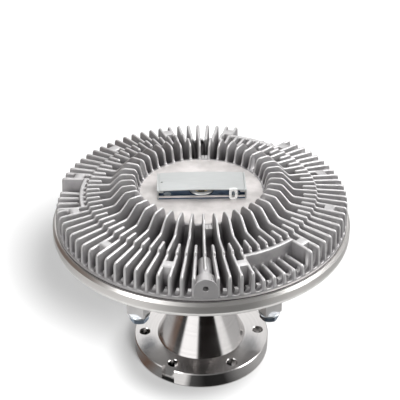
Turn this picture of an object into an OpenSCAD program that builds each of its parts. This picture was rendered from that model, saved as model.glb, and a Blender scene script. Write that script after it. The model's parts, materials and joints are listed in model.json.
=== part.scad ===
// Viscous fan clutch with a bimetal-controlled valve, standing on its drive flange.
// Millimetres, axis on +Z, origin at the centre of the flange's mounting face.
// Angles run anticlockwise from -Y, the side that carries the filler boss.

/* [Drive hub] */
// Diameter of the mounting flange
flange_d = 120; // [118:0.5:124]
// Thickness of the mounting flange
flange_t = 14.5; // [12:0.5:16]
// Distance from the flange's edge to the centres of its bolt holes
flange_hole_inset = 9.25; // [8.5:0.25:10]
// Diameter of each flange bolt hole
flange_hole_d = 9; // [8.4:0.1:10]
// Diameter of the cone's foot on the flange
cone_foot_d = 78.6; // [76:0.2:82]
// Diameter of the hub's neck below the bearing
neck_d = 44; // [42:0.5:46]

/* [Bearing] */
// Height of the bearing's lower face above the mounting face
bearing_z = 92; // [88:1:96]
// Width of the double-row bearing
bearing_w = 27; // [27:0.5:30]

/* [Housing and cover] */
// Diameter over the housing's machined rim
rim_d = 248; // [244:1:254]
// Bolt circle of the fan bolts
fan_pcd = 204; // [200:1:208]
// Height of the fins' outer ends above the cover's lip
outer_fin_h = 17.5; // [16:0.5:19]
// Height of the fins' inner crowns above the cover's lip
crown_fin_h = 33; // [30:0.5:36]
// Thickness of a fin at its foot
fin_foot_w = 3.7; // [3.2:0.1:4]
// Thickness of a fin at the crown's height
fin_tip_w = 1.9; // [1.6:0.1:2.4]

/* [Thermostat] */
// Length of the bimetal strip
strip_l = 69; // [66:0.5:71]
// Width of the bimetal strip
strip_w = 29.6; // [27:0.2:30]

/* [Hidden] */
$fn = 96;
ball_fn = 64;
screw_fn = 32;

// Small overlap that makes fused shapes and cuts meet cleanly
bite = 0.5;
// Gap between the working faces of rotor, housing and cover
shear_gap = 0.4;
// Radial play of a shaft that slides or turns in its bush
run_gap = 0.05;
// Play of the balls in their races
ball_gap = 0.15;

// Drive hub
flange_r = flange_d / 2;
flange_pcd = flange_d - 2 * flange_hole_inset;
flange_holes = 6;
flange_phase = 30;
flange_edge = 0.8;
pilot_r = 37.5;
pilot_depth = 3.5;
notch_angle = -30;
notch_w = 9.7;
notch_depth = 2.2;
neck_r = neck_d / 2;
cone_foot_r = cone_foot_d / 2;
cone_slope = 0.48;
cone_top_z = flange_t + (cone_foot_r - neck_r) / cone_slope;
spigot_r = 14;
spigot_edge = 1;

// Bearing, a sealed double-row angular ball bearing
bearing_r_in = 17.5;
bearing_r_out = 36;
bearing_pitch_r = (bearing_r_in + bearing_r_out) / 2;
ball_r = 5.5;
balls_per_row = 12;
row_offset = 6.2;
race_half = 3.15;
race_in_r = bearing_pitch_r - race_half;
race_out_r = bearing_pitch_r + race_half;
cage_t = 1.6;
cage_edge = 0.6;
cage_half = row_offset + ball_r - cage_edge;
seal_t = 0.9;
seal_inset = 0.3;
circlip_t = 1.9;
circlip_in = 2.8;
circlip_out = 1.4;
circlip_gap = 14;
circlip_play = 0.1;
bearing_top = bearing_z + bearing_w;
bearing_mid = bearing_z + bearing_w / 2;

// Heights of the clutch, stacked on the bearing
rotor_rise = 12;
rotor_z = bearing_top + rotor_rise;
web_t = 5;
land_h = 3.5;
rotor_half = web_t / 2 + land_h;
ceiling_z = rotor_z + rotor_half + shear_gap;
chamber_floor_z = rotor_z - rotor_half - shear_gap;
rim_bottom_z = rotor_z;
seat_h = 3.5;
seat_z = rim_bottom_z + seat_h;
rim_h = 8.2;
rim_top_z = rim_bottom_z + rim_h;
lip_h = 4.1;
lip_z = rim_top_z + lip_h;
disc_rise = 19.3;
disc_z = lip_z + disc_rise;
outer_z = lip_z + outer_fin_h;
crown_z = lip_z + crown_fin_h;
mid_fin_h = 23;
mid_z = lip_z + mid_fin_h;

// Rotor and the parts that clamp it
rotor_hub_r = 23;
rotor_hub_h = 6;
rotor_taper = 7;
rotor_holes = 6;
rotor_hole_r = 4;
rotor_hole_inset = 12;
rotor_washer_r = 22;
rotor_washer_t = 1.6;
rotor_washer_z = rotor_z + web_t / 2;
nut_af = 36;
nut_h = 3.9;
nut_z = rotor_washer_z + rotor_washer_t;
spigot_over = 1.3;
spigot_top_z = nut_z + nut_h + spigot_over;

// Radii of the clutch, counted inwards from the rim
rim_r = rim_d / 2;
rim_edge = 1.4;
rim_skirt = 1.7;
rim_bevel_w = 1.8;
rim_bevel_h = 2.4;
cover_inset = 3;
cover_r = rim_r - cover_inset;
fin_end_inset = 0.6;
fin_end_r = cover_r - fin_end_inset;
rim_wall = 15;
chamber_r = rim_r - rim_wall;
rotor_tip_gap = 1.6;
rotor_r = chamber_r - rotor_tip_gap;
seal_mid_r = (chamber_r + cover_r) / 2;
seal_r = 1.05;
groove_play = 0.9;
land_pitch = 8;
land_w = 3.2;
land_count = 6;
land_inset = 4.2;
land_r0 = rotor_r - land_inset - land_w - land_pitch * (land_count - 1);

// Rear housing
boss_wall = 9;
boss_out_r = bearing_r_out + boss_wall;
boss_drop = 5;
boss_edge = 1;
back_rise = 12;
back_fillet_w = 10;
back_fillet_h = 9;
shoulder_in = 8;
shoulder_drop = 13;
shoulder_out = 4.5;
throat_inset = 3.5;
throat_edge = 4;

// Lugs that carry the fan
lug_count = 6;
lug_phase = 30;
lug_w = 15;
lug_drop = 25.8;
lug_face_z = rim_bottom_z - lug_drop;
lug_in = 8;
lug_in_r = fan_pcd / 2 - lug_in;
lug_out = 6;
lug_out_r = fan_pcd / 2 + lug_out;
apron_drop = 16;
apron_z = rim_bottom_z - apron_drop;
apron_t = 4;
apron_inset = 2;
rib_angle = 11;
rib_t = 4;
rib_drop = 18;
rib_start = 4;
rib_end = 5;
rib_flare = 3;
bolt_r = 4;
bolt_grip = 18;
bolt_end_gap = 2;
bolt_head_h = 5.3;
bolt_head_af = 13;
fan_washer_r = 8.5;
fan_washer_t = 1.6;

// Fin pattern: three equal sectors, long and short fins in turn
sectors = 3;
fin_count = 84;
fin_step = 360 / fin_count;
sector_fins = fin_count / sectors;
fin_sink = 1.5;
fin_corner = 2;
fin_end_l = 26.4;
step_r = fin_end_r - fin_end_l;
step_l = 2.5;
step_h = 1.8;
step_z = outer_z + step_h;
mid_fall = 0.8;
short_fin_l = 10.5;
short_fin_r = step_r - short_fin_l;
short_corner = 2.5;
short_drop = 0.5;

// Disc in the middle of the cover, and the crowns of the long fins around it
disc_r = 51;
disc_t = 5;
disc_edge = 2;
disc_fall = 3;
recess_l = 3;
recess_r = disc_r + recess_l;
reservoir_inset = 4.5;
reservoir_r = disc_r - reservoir_inset;
reservoir_corner = 3;
reservoir_z = disc_z - disc_t;
crown_lean = 2.9;
crown_l = 12.9;
crown_corner = 2;
crown_r0 = disc_r + crown_lean;
crown_r1 = crown_r0 + crown_l;
slope_l = 9.4;
slope_r = crown_r1 + slope_l;
fin_root_l = 9;
fin_root_r = recess_r + fin_root_l;
floor_in_l = 4.8;
floor_in_r = crown_r1 - floor_in_l;
floor_in_h = 6;
floor_out_l = 1.8;
floor_out_r = slope_r + floor_out_l;
floor_out_h = 1.2;
lip_edge = 0.6;

// Pockets, pads and filler boss of the cover
pocket_fin = 7;
pocket_half = 3;
pocket_depth = 18.9;
pocket_r = fin_end_r - pocket_depth;
pocket_wall_t = 4.5;
pocket_wall_drop = 0.4;
pocket_draft = 1;
low_fin_drop = 8.6;
low_fin_z = outer_z - low_fin_drop;
outer_pads = 12;
pad_first = 3.5;
pad_inset = 18.4;
pad_r0 = fin_end_r - pad_inset;
pad_l = 8.2;
pad_rise = 0.6;
inner_pad_fins = [1, 13];
inner_pad_l = 7.5;
inner_pad_h = 12;
boss_r = 9.2;
boss_rise = 7.2;
boss_z = lip_z + boss_rise;
boss_depth = 9;
boss_inset = 0.2;
boss_hole_r = 2.2;
boss_hole_rise = 0.6;
boss_hole_depth = 12;
ridge_w = 10.4;
ridge_r0 = step_r + step_l;
ridge_z = boss_z + boss_r - ridge_w / 2;

// Separator plate and valve lever
plate_t = 1.5;
plate_rise = 4.6;
plate_play = 0.1;
plate_z = ceiling_z + plate_rise;
plate_screws = 6;
plate_screw_phase = 30;
plate_screw_inset = 3.8;
plate_screw_r = recess_r - plate_screw_inset;
screw_r = 2;
screw_head_r = 3.5;
screw_head_h = 2.4;
screw_l = 8;
screw_end_gap = 1;
port_x = 22;
port_r = 3;
return_r = 1.6;
return_inset = 4.5;
return_y = reservoir_r - return_inset;
pivot_x = -26;
pivot_r = 2;
pivot_play = 0.3;
pivot_head = 1.4;
pivot_head_t = 0.8;
lever_t = 0.8;
lever_w = 11;
lever_gap = 0.5;
lever_z = plate_z + plate_t + lever_gap;
lever_play = 0.6;

// Control pin and its bush
pin_r = 3;
pin_end_gap = 0.4;
bush_r = 6;
bush_wall = 5;
bush_draft = 1.5;
bush_boss_h = 5;
bush_l = disc_t + bush_boss_h;
pin_seal_r = 0.9;
pin_groove_half = 1.05;
pin_seal_depth = 6;
seal_groove_z = disc_z - pin_seal_depth;

// Bimetal strip and its bracket
strip_t = 1.2;
strip_rise = 0.9;
strip_lift = 9;
strip_top_z = disc_z + strip_lift;
strip_arc_r = (strip_l * strip_l / 4 + strip_rise * strip_rise) / (2 * strip_rise);
strip_play = 0.1;
peg_r = 0.8;
peg_inset = 1.6;
bracket_t = 1.2;
bracket_play = 0.7;
bracket_x = strip_l / 2 + bracket_play;
bracket_rise = 0.3;
bracket_hole_play = 0.5;
ledge_l = 4;
pin_top_gap = 0.3;
pin_top_z = strip_top_z - strip_t - pin_top_gap;
pin_bottom_z = lever_z + lever_t + pin_end_gap;
rivet_end_l = 6.5;
rivet_x = strip_l / 2 - rivet_end_l;
rivet_side_l = 5.8;
rivet_y = strip_w / 2 - rivet_side_l;
rivet_r = 2;
rivet_depth = 4;
rivet_end_gap = 0.5;
rivet_head = 1.2;
rivet_head_h = 1;
clip_end_l = 9;
clip_x = strip_l / 2 - clip_end_l;
clip_w = 6.2;
clip_t = 1;
hook_l = 3;

// Turns its children to an angle that runs anticlockwise from -Y
module at_angle(a) {
    rotate([0, 0, a - 90])
        children();
}

// Repeats its children around the axis, starting at -Y plus a first angle
module around(count, first = 0) {
    for (i = [0 : count - 1])
        at_angle(first + i * 360 / count)
            children();
}

// A ring from radius r0 to r1, from height z0 to z1
module ring(r0, r1, z0, z1) {
    translate([0, 0, z0])
        difference() {
            cylinder(r = r1, h = z1 - z0);
            translate([0, 0, -bite])
                cylinder(r = r0, h = z1 - z0 + 2 * bite);
        }
}

// A round bar standing at height z0
module post(r, z0, z1) {
    translate([0, 0, z0])
        cylinder(r = r, h = z1 - z0);
}

// Points of a rounded corner in the (radius, height) plane
function corner(r, z, size, a0, a1, n = 4) =
    [for (i = [0 : n]) let (a = a0 + (a1 - a0) * i / n) [r + size * cos(a), z + size * sin(a)]];

// A plate with an outline in the (radius, height) plane, centred on the fin's own plane
module upright(outline, w) {
    rotate([90, 0, 0])
        linear_extrude(height = w, center = true)
            polygon(outline);
}

// Flange of the drive hub: pilot recess, bolt holes and a notch in its edge
module drive_flange() {
    color([0.62, 0.61, 0.6])
        difference() {
            rotate_extrude()
                polygon([
                    [0, pilot_depth], [pilot_r, pilot_depth], [pilot_r, 0], [flange_r - flange_edge, 0],
                    [flange_r, flange_edge], [flange_r, flange_t - flange_edge],
                    [flange_r - flange_edge, flange_t], [0, flange_t]
                ]);
            around(flange_holes, flange_phase)
                translate([flange_pcd / 2, 0, -bite])
                    cylinder(d = flange_hole_d, h = flange_t + 2 * bite);
            at_angle(notch_angle)
                translate([flange_r - notch_depth, -notch_w / 2, -bite])
                    cube([notch_depth + bite, notch_w, flange_t + 2 * bite]);
        }
}

// Shaft of the drive hub on its flange: cone, neck, bearing seat and threaded spigot
module drive_shaft() {
    color([0.62, 0.61, 0.6])
        rotate_extrude()
            polygon([
                [0, flange_t], [cone_foot_r, flange_t], [neck_r, cone_top_z], [neck_r, bearing_z],
                [bearing_r_in, bearing_z], [bearing_r_in, bearing_top], [spigot_r, bearing_top],
                [spigot_r, spigot_top_z - spigot_edge], [spigot_r - spigot_edge, spigot_top_z],
                [0, spigot_top_z]
            ]);
}

// Torus of the ball path, cut out of both rings with the balls' play
module ball_path() {
    for (side = [-1, 1])
        translate([0, 0, bearing_mid + side * row_offset])
            rotate_extrude()
                translate([bearing_pitch_r, 0])
                    circle(r = ball_r + ball_gap, $fn = ball_fn);
}

// Inner ring of the bearing, pressed on the hub
module bearing_inner_ring() {
    color([0.75, 0.75, 0.76])
        difference() {
            ring(bearing_r_in, race_in_r, bearing_z, bearing_top);
            ball_path();
        }
}

// Outer ring of the bearing, seated in the housing
module bearing_outer_ring() {
    color([0.72, 0.72, 0.73])
        difference() {
            ring(race_out_r, bearing_r_out, bearing_z, bearing_top);
            ball_path();
        }
}

// The two rows of balls
module bearing_balls() {
    color([0.85, 0.85, 0.86])
        for (side = [-1, 1])
            translate([0, 0, bearing_mid + side * row_offset])
                around(balls_per_row)
                    translate([bearing_pitch_r, 0, 0])
                        sphere(r = ball_r, $fn = ball_fn);
}

// Cage that spaces the balls of both rows
module bearing_cage() {
    color([0.72, 0.6, 0.38])
        difference() {
            ring(bearing_pitch_r - cage_t / 2, bearing_pitch_r + cage_t / 2,
                bearing_mid - cage_half, bearing_mid + cage_half);
            for (side = [-1, 1])
                translate([0, 0, bearing_mid + side * row_offset])
                    around(balls_per_row)
                        translate([bearing_pitch_r - cage_t, 0, 0])
                            rotate([0, 90, 0])
                                cylinder(r = ball_r + ball_gap, h = 2 * cage_t, $fn = ball_fn);
        }
}

// Sealing discs that close both ends of the bearing
module bearing_seals() {
    lower_z = bearing_z + seal_inset;
    upper_z = bearing_top - seal_inset - seal_t;
    color([0.12, 0.12, 0.13])
        for (z = [lower_z, upper_z])
            ring(race_in_r + shear_gap, race_out_r, z, z + seal_t);
}

// Open retaining ring that holds the bearing in the housing
module bearing_circlip() {
    clip_z = bearing_z - circlip_t;
    color([0.3, 0.3, 0.32])
        difference() {
            ring(bearing_r_out - circlip_in, bearing_r_out + circlip_out, clip_z, bearing_z);
            translate([0, -circlip_gap / 2, clip_z - bite])
                cube([2 * bearing_r_out, circlip_gap, circlip_t + 2 * bite]);
        }
}

// Concentric lands that face each other across the shear gap
module lands(r0, w, count, z0, z1) {
    for (i = [0 : count - 1])
        ring(r0 + i * land_pitch, r0 + i * land_pitch + w, z0, z1);
}

// Rotor disc with lands on both faces, clamped on the hub
module rotor() {
    color([0.7, 0.71, 0.72])
        union() {
            difference() {
                rotate_extrude()
                    polygon([
                        [spigot_r, bearing_top], [rotor_hub_r, bearing_top],
                        [rotor_hub_r, rotor_z - rotor_hub_h],
                        [rotor_hub_r + rotor_taper, rotor_z - web_t / 2], [rotor_r, rotor_z - web_t / 2],
                        [rotor_r, rotor_z + web_t / 2], [spigot_r, rotor_z + web_t / 2]
                    ]);
                around(rotor_holes, 90 / rotor_holes)
                    translate([land_r0 - rotor_hole_inset, 0, rotor_z - web_t])
                        cylinder(r = rotor_hole_r, h = 2 * web_t);
            }
            lands(land_r0, land_w, land_count, rotor_z + web_t / 2 - bite, rotor_z + rotor_half);
            lands(land_r0, land_w, land_count, rotor_z - rotor_half, rotor_z - web_t / 2 + bite);
        }
}

// Hardened washer under the rotor's nut
module rotor_washer() {
    color([0.55, 0.55, 0.57])
        ring(spigot_r, rotor_washer_r, rotor_washer_z, nut_z);
}

// Low hexagon nut that clamps the rotor and the inner ring
module rotor_nut() {
    color([0.5, 0.5, 0.52])
        translate([0, 0, nut_z])
            difference() {
                cylinder(d = nut_af / cos(30), h = nut_h, $fn = 6);
                translate([0, 0, -bite])
                    cylinder(r = spigot_r, h = nut_h + 2 * bite);
            }
}

// Solid outside of the housing: rim, dished back and bearing boss
module housing_outside() {
    boss_z0 = bearing_z - boss_drop;
    back_z = bearing_top - back_rise;
    shoulder_z = rotor_z - shoulder_drop;
    skirt_z = rim_bottom_z - rim_skirt;
    rotate_extrude()
        polygon([
            [0, boss_z0], [boss_out_r - boss_edge, boss_z0], [boss_out_r, boss_z0 + boss_edge],
            [boss_out_r, back_z], [boss_out_r + back_fillet_w, back_z + back_fillet_h],
            [chamber_r - shoulder_in, shoulder_z],
            [chamber_r + shoulder_out, shoulder_z + shoulder_out + boss_edge],
            [chamber_r + shoulder_out + boss_edge, skirt_z], [rim_r - rim_edge, skirt_z],
            [rim_r, skirt_z + rim_edge], [rim_r, rim_top_z - rim_bevel_h],
            [rim_r - rim_bevel_w, rim_top_z], [0, rim_top_z]
        ]);
}

// Hollow of the housing: bearing seat, fluid chamber and the cover's recess
module housing_hollow() {
    throat_r = bearing_r_out - throat_inset;
    mouth_z = bearing_z - boss_drop - bite;
    groove_r = bearing_r_out + circlip_out + circlip_play;
    groove_z = bearing_z - circlip_t - circlip_play;
    rotate_extrude()
        polygon([
            [0, mouth_z], [bearing_r_out, mouth_z], [bearing_r_out, groove_z],
            [groove_r, groove_z], [groove_r, bearing_z],
            [bearing_r_out, bearing_z], [bearing_r_out, bearing_top], [throat_r, bearing_top],
            [throat_r, chamber_floor_z - throat_edge / 2], [throat_r + throat_edge, chamber_floor_z],
            [chamber_r, chamber_floor_z], [chamber_r, seat_z], [cover_r, seat_z],
            [cover_r, rim_top_z + bite], [0, rim_top_z + bite]
        ]);
}

// One lug with the apron behind it and the two ribs beside it
module fan_lug() {
    translate([lug_in_r, -lug_w / 2, lug_face_z])
        cube([lug_out_r - lug_in_r, lug_w, lug_drop - boss_edge]);
    rotate([0, 0, -rib_angle])
        rotate_extrude(angle = 2 * rib_angle)
            translate([lug_out_r - apron_inset - apron_t, apron_z])
                square([apron_t, apron_drop - boss_edge]);
    rib_in_r = bearing_r_out + rib_start;
    rib_top_z = rim_bottom_z - 2 * boss_edge;
    for (side = [-1, 1])
        rotate([0, 0, side * rib_angle])
            upright([
                [rib_in_r, bearing_top - rib_drop], [lug_out_r - rib_end, apron_z - boss_edge],
                [lug_out_r, apron_z], [lug_out_r + rib_flare, rib_top_z], [rib_in_r, rib_top_z]
            ], rib_t);
}

// Rear housing: machined rim, fluid chamber, bearing seat and the lugs that carry the fan
module rear_housing() {
    color([0.78, 0.78, 0.77])
        union() {
            difference() {
                union() {
                    housing_outside();
                    around(lug_count, lug_phase)
                        fan_lug();
                }
                housing_hollow();
                around(lug_count, lug_phase)
                    translate([fan_pcd / 2, 0, lug_face_z - bite])
                        cylinder(r = bolt_r, h = bolt_grip + bite, $fn = screw_fn);
            }
            lands(land_r0 + land_w + shear_gap, land_pitch - land_w - 2 * shear_gap, land_count - 1,
                chamber_floor_z - bite, rotor_z - web_t / 2 - shear_gap);
        }
}

// Outline of a fin's outer part, from its top at the step down to its foot
function fin_end(foot) = concat(
    [[step_r, mid_z - mid_fall], [step_r + step_l, step_z]],
    corner(fin_end_r - fin_corner, outer_z - fin_corner, fin_corner, 90, 0),
    [[fin_end_r, foot]]
);

// Outline of a lowered fin's outer part, inside a pocket
function low_fin_end(foot) = concat(
    [[step_r, mid_z - mid_fall], [step_r + step_l, step_z],
        [pocket_r - pocket_draft - bite, step_z], [pocket_r - pocket_draft - bite, low_fin_z]],
    corner(fin_end_r - fin_corner, low_fin_z - fin_corner, fin_corner, 90, 0),
    [[fin_end_r, foot]]
);

// Outline of a long fin's inner part, with its crown
function crown_start(foot) = concat(
    [[fin_root_r, foot], [disc_r - bite, reservoir_z], [disc_r - bite, disc_z], [disc_r, disc_z]],
    corner(crown_r0 + crown_corner, crown_z - crown_corner, crown_corner, 165, 90, 3),
    [[crown_r1, crown_z], [slope_r, mid_z]]
);

// Outline of a short fin's rounded inner end
function short_start(foot) = concat(
    [[short_fin_r, foot]],
    corner(short_fin_r + short_corner, mid_z - short_drop - short_corner, short_corner, 180, 90, 3)
);

// One fin, drafted from foot to tip
module fin(is_long, is_low) {
    foot = lip_z - fin_sink;
    start = is_long ? crown_start(foot) : short_start(foot);
    finish = is_low ? low_fin_end(foot) : fin_end(foot);
    intersection() {
        upright(concat(start, finish), 2 * fin_foot_w);
        rotate([90, 0, 90])
            linear_extrude(height = rim_r)
                polygon([
                    [-fin_foot_w / 2, foot - 1], [fin_foot_w / 2, foot - 1],
                    [fin_tip_w / 2, crown_z + 1], [-fin_tip_w / 2, crown_z + 1]
                ]);
    }
}

// All fins of one sector
module sector_of_fins() {
    for (i = [0 : sector_fins - 1])
        rotate([0, 0, i * fin_step])
            fin(i % 2 == 0, abs(i - pocket_fin) < pocket_half);
}

// Pads that bridge two fins: the ejector marks of the casting
module fin_pads() {
    pad_w = pad_r0 * fin_step * PI / 180;
    inner_w = 2 * crown_r0 * fin_step * PI / 180;
    rotate([0, 0, pad_first * fin_step])
        around_local(outer_pads)
            translate([pad_r0, -pad_w / 2, lip_z - fin_sink])
                cube([pad_l, pad_w, outer_z - lip_z + fin_sink + pad_rise]);
    for (i = inner_pad_fins)
        rotate([0, 0, i * fin_step])
            around_local(sectors)
                translate([disc_r - bite, -inner_w / 2, disc_z - inner_pad_h])
                    cube([inner_pad_l + bite, inner_w, inner_pad_h]);
}

// Repeats its children around the axis, starting at the local X axis
module around_local(count) {
    for (i = [0 : count - 1])
        rotate([0, 0, i * 360 / count])
            children();
}

// Arc wall that closes a pocket towards the axis, drafted on its outer face
module pocket_wall() {
    span = 2 * pocket_half * fin_step;
    foot = lip_z - fin_sink;
    wall_top_z = step_z - pocket_wall_drop;
    rotate([0, 0, pocket_fin * fin_step - span / 2])
        rotate_extrude(angle = span)
            polygon([
                [pocket_r - pocket_wall_t, foot], [pocket_r, foot],
                [pocket_r - pocket_draft, wall_top_z], [pocket_r - pocket_wall_t, wall_top_z]
            ]);
}

// A bar with an arched top that runs outwards from radius r0 to r1, its arch centred at height z
module arched_bar(w, r0, r1, z) {
    foot = lip_z - fin_sink;
    translate([r0, 0, z])
        rotate([0, 90, 0])
            cylinder(d = w, h = r1 - r0);
    translate([r0, -w / 2, foot])
        cube([r1 - r0, w, z - foot]);
}

// Filler boss: a pad flush with the cover's lip, and the ridge around its bore behind it
module filler_boss() {
    pad_face_r = cover_r - boss_inset;
    pad_back_r = pad_face_r - boss_depth;
    arched_bar(2 * boss_r, pad_back_r, pad_face_r, boss_z);
    arched_bar(ridge_w, ridge_r0, pad_back_r + bite, ridge_z);
}

// Turned body of the cover: disc, reservoir, floor between the fins, and lip
module cover_body() {
    rotate_extrude()
        polygon([
            [0, disc_z - bush_l], [bush_r + bush_wall, disc_z - bush_l],
            [bush_r + bush_wall + bush_draft, reservoir_z],
            [reservoir_r - reservoir_corner, reservoir_z], [reservoir_r, reservoir_z - reservoir_corner],
            [reservoir_r, plate_z + plate_t], [recess_r, plate_z + plate_t], [recess_r, ceiling_z],
            [chamber_r + run_gap, ceiling_z], [chamber_r + run_gap, seat_z], [cover_r, seat_z],
            [cover_r, lip_z - lip_edge], [cover_r - lip_edge, lip_z],
            [floor_out_r, lip_z + floor_out_h], [floor_in_r, lip_z + floor_in_h],
            [recess_r, disc_z - disc_fall], [disc_r + disc_edge, disc_z], [0, disc_z]
        ]);
}

// Finned cover, die-cast in one piece
module finned_cover() {
    groove_w = 2 * seal_r + groove_play;
    groove_depth = 2 * seal_r + 4 * run_gap;
    land_start = land_r0 + land_w + shear_gap;
    color([0.74, 0.73, 0.72])
        difference() {
            union() {
                cover_body();
                at_angle(0) {
                    around_local(sectors) {
                        sector_of_fins();
                        pocket_wall();
                    }
                    fin_pads();
                    filler_boss();
                }
                lands(land_start, land_pitch - land_w - 2 * shear_gap, land_count - 1,
                    rotor_z + web_t / 2 + shear_gap, ceiling_z + bite);
            }
            post(bush_r, disc_z - bush_l - bite, disc_z + bite);
            ring(seal_mid_r - groove_w / 2, seal_mid_r + groove_w / 2, seat_z - bite, seat_z + groove_depth);
            at_angle(0)
                translate([cover_r - boss_hole_depth, 0, boss_z + boss_hole_rise])
                    rotate([0, 90, 0])
                        cylinder(r = boss_hole_r, h = boss_hole_depth + bite, $fn = screw_fn);
            around(plate_screws, plate_screw_phase)
                translate([plate_screw_r, 0, plate_z])
                    cylinder(r = screw_r, h = plate_t + screw_l, $fn = screw_fn);
            at_rivets()
                post(rivet_r, disc_z - rivet_depth, disc_z + bite);
        }
}

// O-ring between the cover and the housing
module cover_seal() {
    color([0.1, 0.1, 0.1])
        translate([0, 0, seat_z + seal_r + run_gap])
            rotate_extrude()
                translate([seal_mid_r, 0])
                    circle(r = seal_r, $fn = screw_fn);
}

// Separator plate between the reservoir and the fluid chamber
module separator_plate() {
    below_z = plate_z - bite;
    above_z = plate_z + plate_t + bite;
    color([0.68, 0.68, 0.66])
        difference() {
            post(recess_r - plate_play, plate_z, plate_z + plate_t);
            translate([port_x, 0, 0])
                post(port_r, below_z, above_z);
            translate([pivot_x, 0, 0])
                post(pivot_r, below_z, above_z);
            translate([0, return_y, 0])
                post(return_r, below_z, above_z, $fn = screw_fn);
            around(plate_screws, plate_screw_phase)
                translate([plate_screw_r, 0, 0])
                    post(screw_r, below_z, above_z, $fn = screw_fn);
        }
}

// Screws that hold the separator plate in the cover
module separator_screws() {
    color([0.4, 0.4, 0.42])
        around(plate_screws, plate_screw_phase)
            translate([plate_screw_r, 0, 0]) {
                post(screw_head_r, plate_z - screw_head_h, plate_z, $fn = screw_fn);
                post(screw_r, plate_z - bite, plate_z + plate_t + screw_l - screw_end_gap, $fn = screw_fn);
            }
}

// Valve lever that covers and clears the port
module valve_lever() {
    top_z = lever_z + lever_t;
    color([0.8, 0.78, 0.7])
        difference() {
            union() {
                translate([pivot_x, -lever_w / 2, lever_z])
                    cube([port_x - pivot_x, lever_w, lever_t]);
                for (x = [pivot_x, port_x])
                    translate([x, 0, 0])
                        post(lever_w / 2, lever_z, top_z);
            }
            translate([pivot_x, 0, 0])
                post(pivot_r + pivot_play, lever_z - bite, top_z + bite);
        }
}

// Shouldered rivet on which the valve lever tilts
module lever_rivet() {
    head_z = lever_z + lever_t + lever_play;
    color([0.55, 0.5, 0.4])
        translate([pivot_x, 0, 0]) {
            post(pivot_r, plate_z - pivot_head_t, head_z + pivot_head_t);
            for (z = [plate_z - pivot_head_t, head_z])
                post(pivot_r + pivot_head, z, z + pivot_head_t);
        }
}

// Control pin between the bimetal strip and the valve lever
module control_pin() {
    color([0.82, 0.82, 0.83])
        post(pin_r, pin_bottom_z, pin_top_z);
}

// Guide bush of the control pin
module pin_bush() {
    groove_r = pin_r + 2 * pin_seal_r + 3 * run_gap;
    color([0.72, 0.56, 0.28])
        difference() {
            post(bush_r, disc_z - bush_l, disc_z);
            post(pin_r + run_gap, disc_z - bush_l - bite, disc_z + bite);
            ring(pin_r, groove_r, seal_groove_z - pin_groove_half, seal_groove_z + pin_groove_half);
        }
}

// O-ring around the control pin
module pin_seal() {
    color([0.12, 0.12, 0.12])
        translate([0, 0, seal_groove_z])
            rotate_extrude()
                translate([pin_r + run_gap + pin_seal_r, 0])
                    circle(r = pin_seal_r, $fn = screw_fn);
}

// Places its children at the four bracket rivets
module at_rivets() {
    for (x = [-rivet_x, rivet_x], y = [-rivet_y, rivet_y])
        translate([x, y, 0])
            children();
}

// Folded bracket that carries the ends of the bimetal strip
module strip_bracket() {
    wall_z = strip_top_z + bracket_rise;
    ledge_z = strip_top_z - strip_rise - strip_t - strip_play;
    color([0.8, 0.8, 0.78])
        difference() {
            union() {
                translate([-bracket_x - bracket_t, -strip_w / 2, disc_z])
                    cube([2 * (bracket_x + bracket_t), strip_w, bracket_t]);
                for (side = [0, 1])
                    mirror([side, 0, 0]) {
                        translate([bracket_x, -strip_w / 2, disc_z])
                            cube([bracket_t, strip_w, wall_z - disc_z]);
                        translate([bracket_x - ledge_l, -strip_w / 2, ledge_z - bracket_t])
                            cube([ledge_l + bite, strip_w, bracket_t]);
                    }
            }
            post(bush_r + bracket_hole_play, disc_z - bite, disc_z + bracket_t + bite);
            at_rivets()
                post(rivet_r, disc_z - bite, disc_z + bracket_t + bite, $fn = screw_fn);
        }
}

// Rivets that fix the bracket on the cover's disc
module bracket_rivets() {
    head_z = disc_z + bracket_t;
    color([0.7, 0.7, 0.68])
        at_rivets() {
            post(rivet_r, disc_z - rivet_depth + rivet_end_gap, head_z + bite, $fn = screw_fn);
            post(rivet_r + rivet_head, head_z, head_z + rivet_head_h, $fn = screw_fn);
        }
}

// Bimetal strip, a thin plate that bows slightly away from the cover
module bimetal_strip() {
    arc_fn = 720;
    peg_x = -strip_l / 2 + peg_inset;
    low_z = strip_top_z - strip_rise - 2 * strip_t;
    cut_h = strip_rise + 3 * strip_t;
    color([0.84, 0.85, 0.84])
        difference() {
            intersection() {
                translate([0, 0, strip_top_z - strip_arc_r])
                    rotate([90, 0, 0])
                        difference() {
                            cylinder(r = strip_arc_r, h = strip_w, center = true, $fn = arc_fn);
                            cylinder(r = strip_arc_r - strip_t, h = strip_w + bite, center = true,
                                $fn = arc_fn);
                        }
                translate([-strip_l / 2, -strip_w / 2, low_z])
                    cube([strip_l, strip_w, cut_h]);
            }
            translate([peg_x, 0, low_z])
                cylinder(r = peg_r, h = cut_h, $fn = screw_fn);
        }
}

// Spring clip that keeps the strip in its bracket
module strip_clip() {
    clip_y = -strip_w / 2 - clip_t;
    hook_z = strip_top_z + strip_play;
    color([0.82, 0.82, 0.8])
        translate([clip_x - clip_w / 2, clip_y, 0]) {
            translate([0, 0, disc_z])
                cube([clip_w, clip_t, hook_z + clip_t - disc_z]);
            translate([0, 0, hook_z])
                cube([clip_w, clip_t + hook_l, clip_t]);
        }
}

// Hexagon bolts that hold the fan
module fan_bolts() {
    head_z = lug_face_z - fan_washer_t - bolt_head_h;
    color([0.66, 0.7, 0.74])
        around(lug_count, lug_phase)
            translate([fan_pcd / 2, 0, 0]) {
                translate([0, 0, head_z])
                    cylinder(d = bolt_head_af / cos(30), h = bolt_head_h, $fn = 6);
                post(bolt_r - run_gap, head_z + bite, lug_face_z + bolt_grip - bolt_end_gap, $fn = screw_fn);
            }
}

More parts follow.
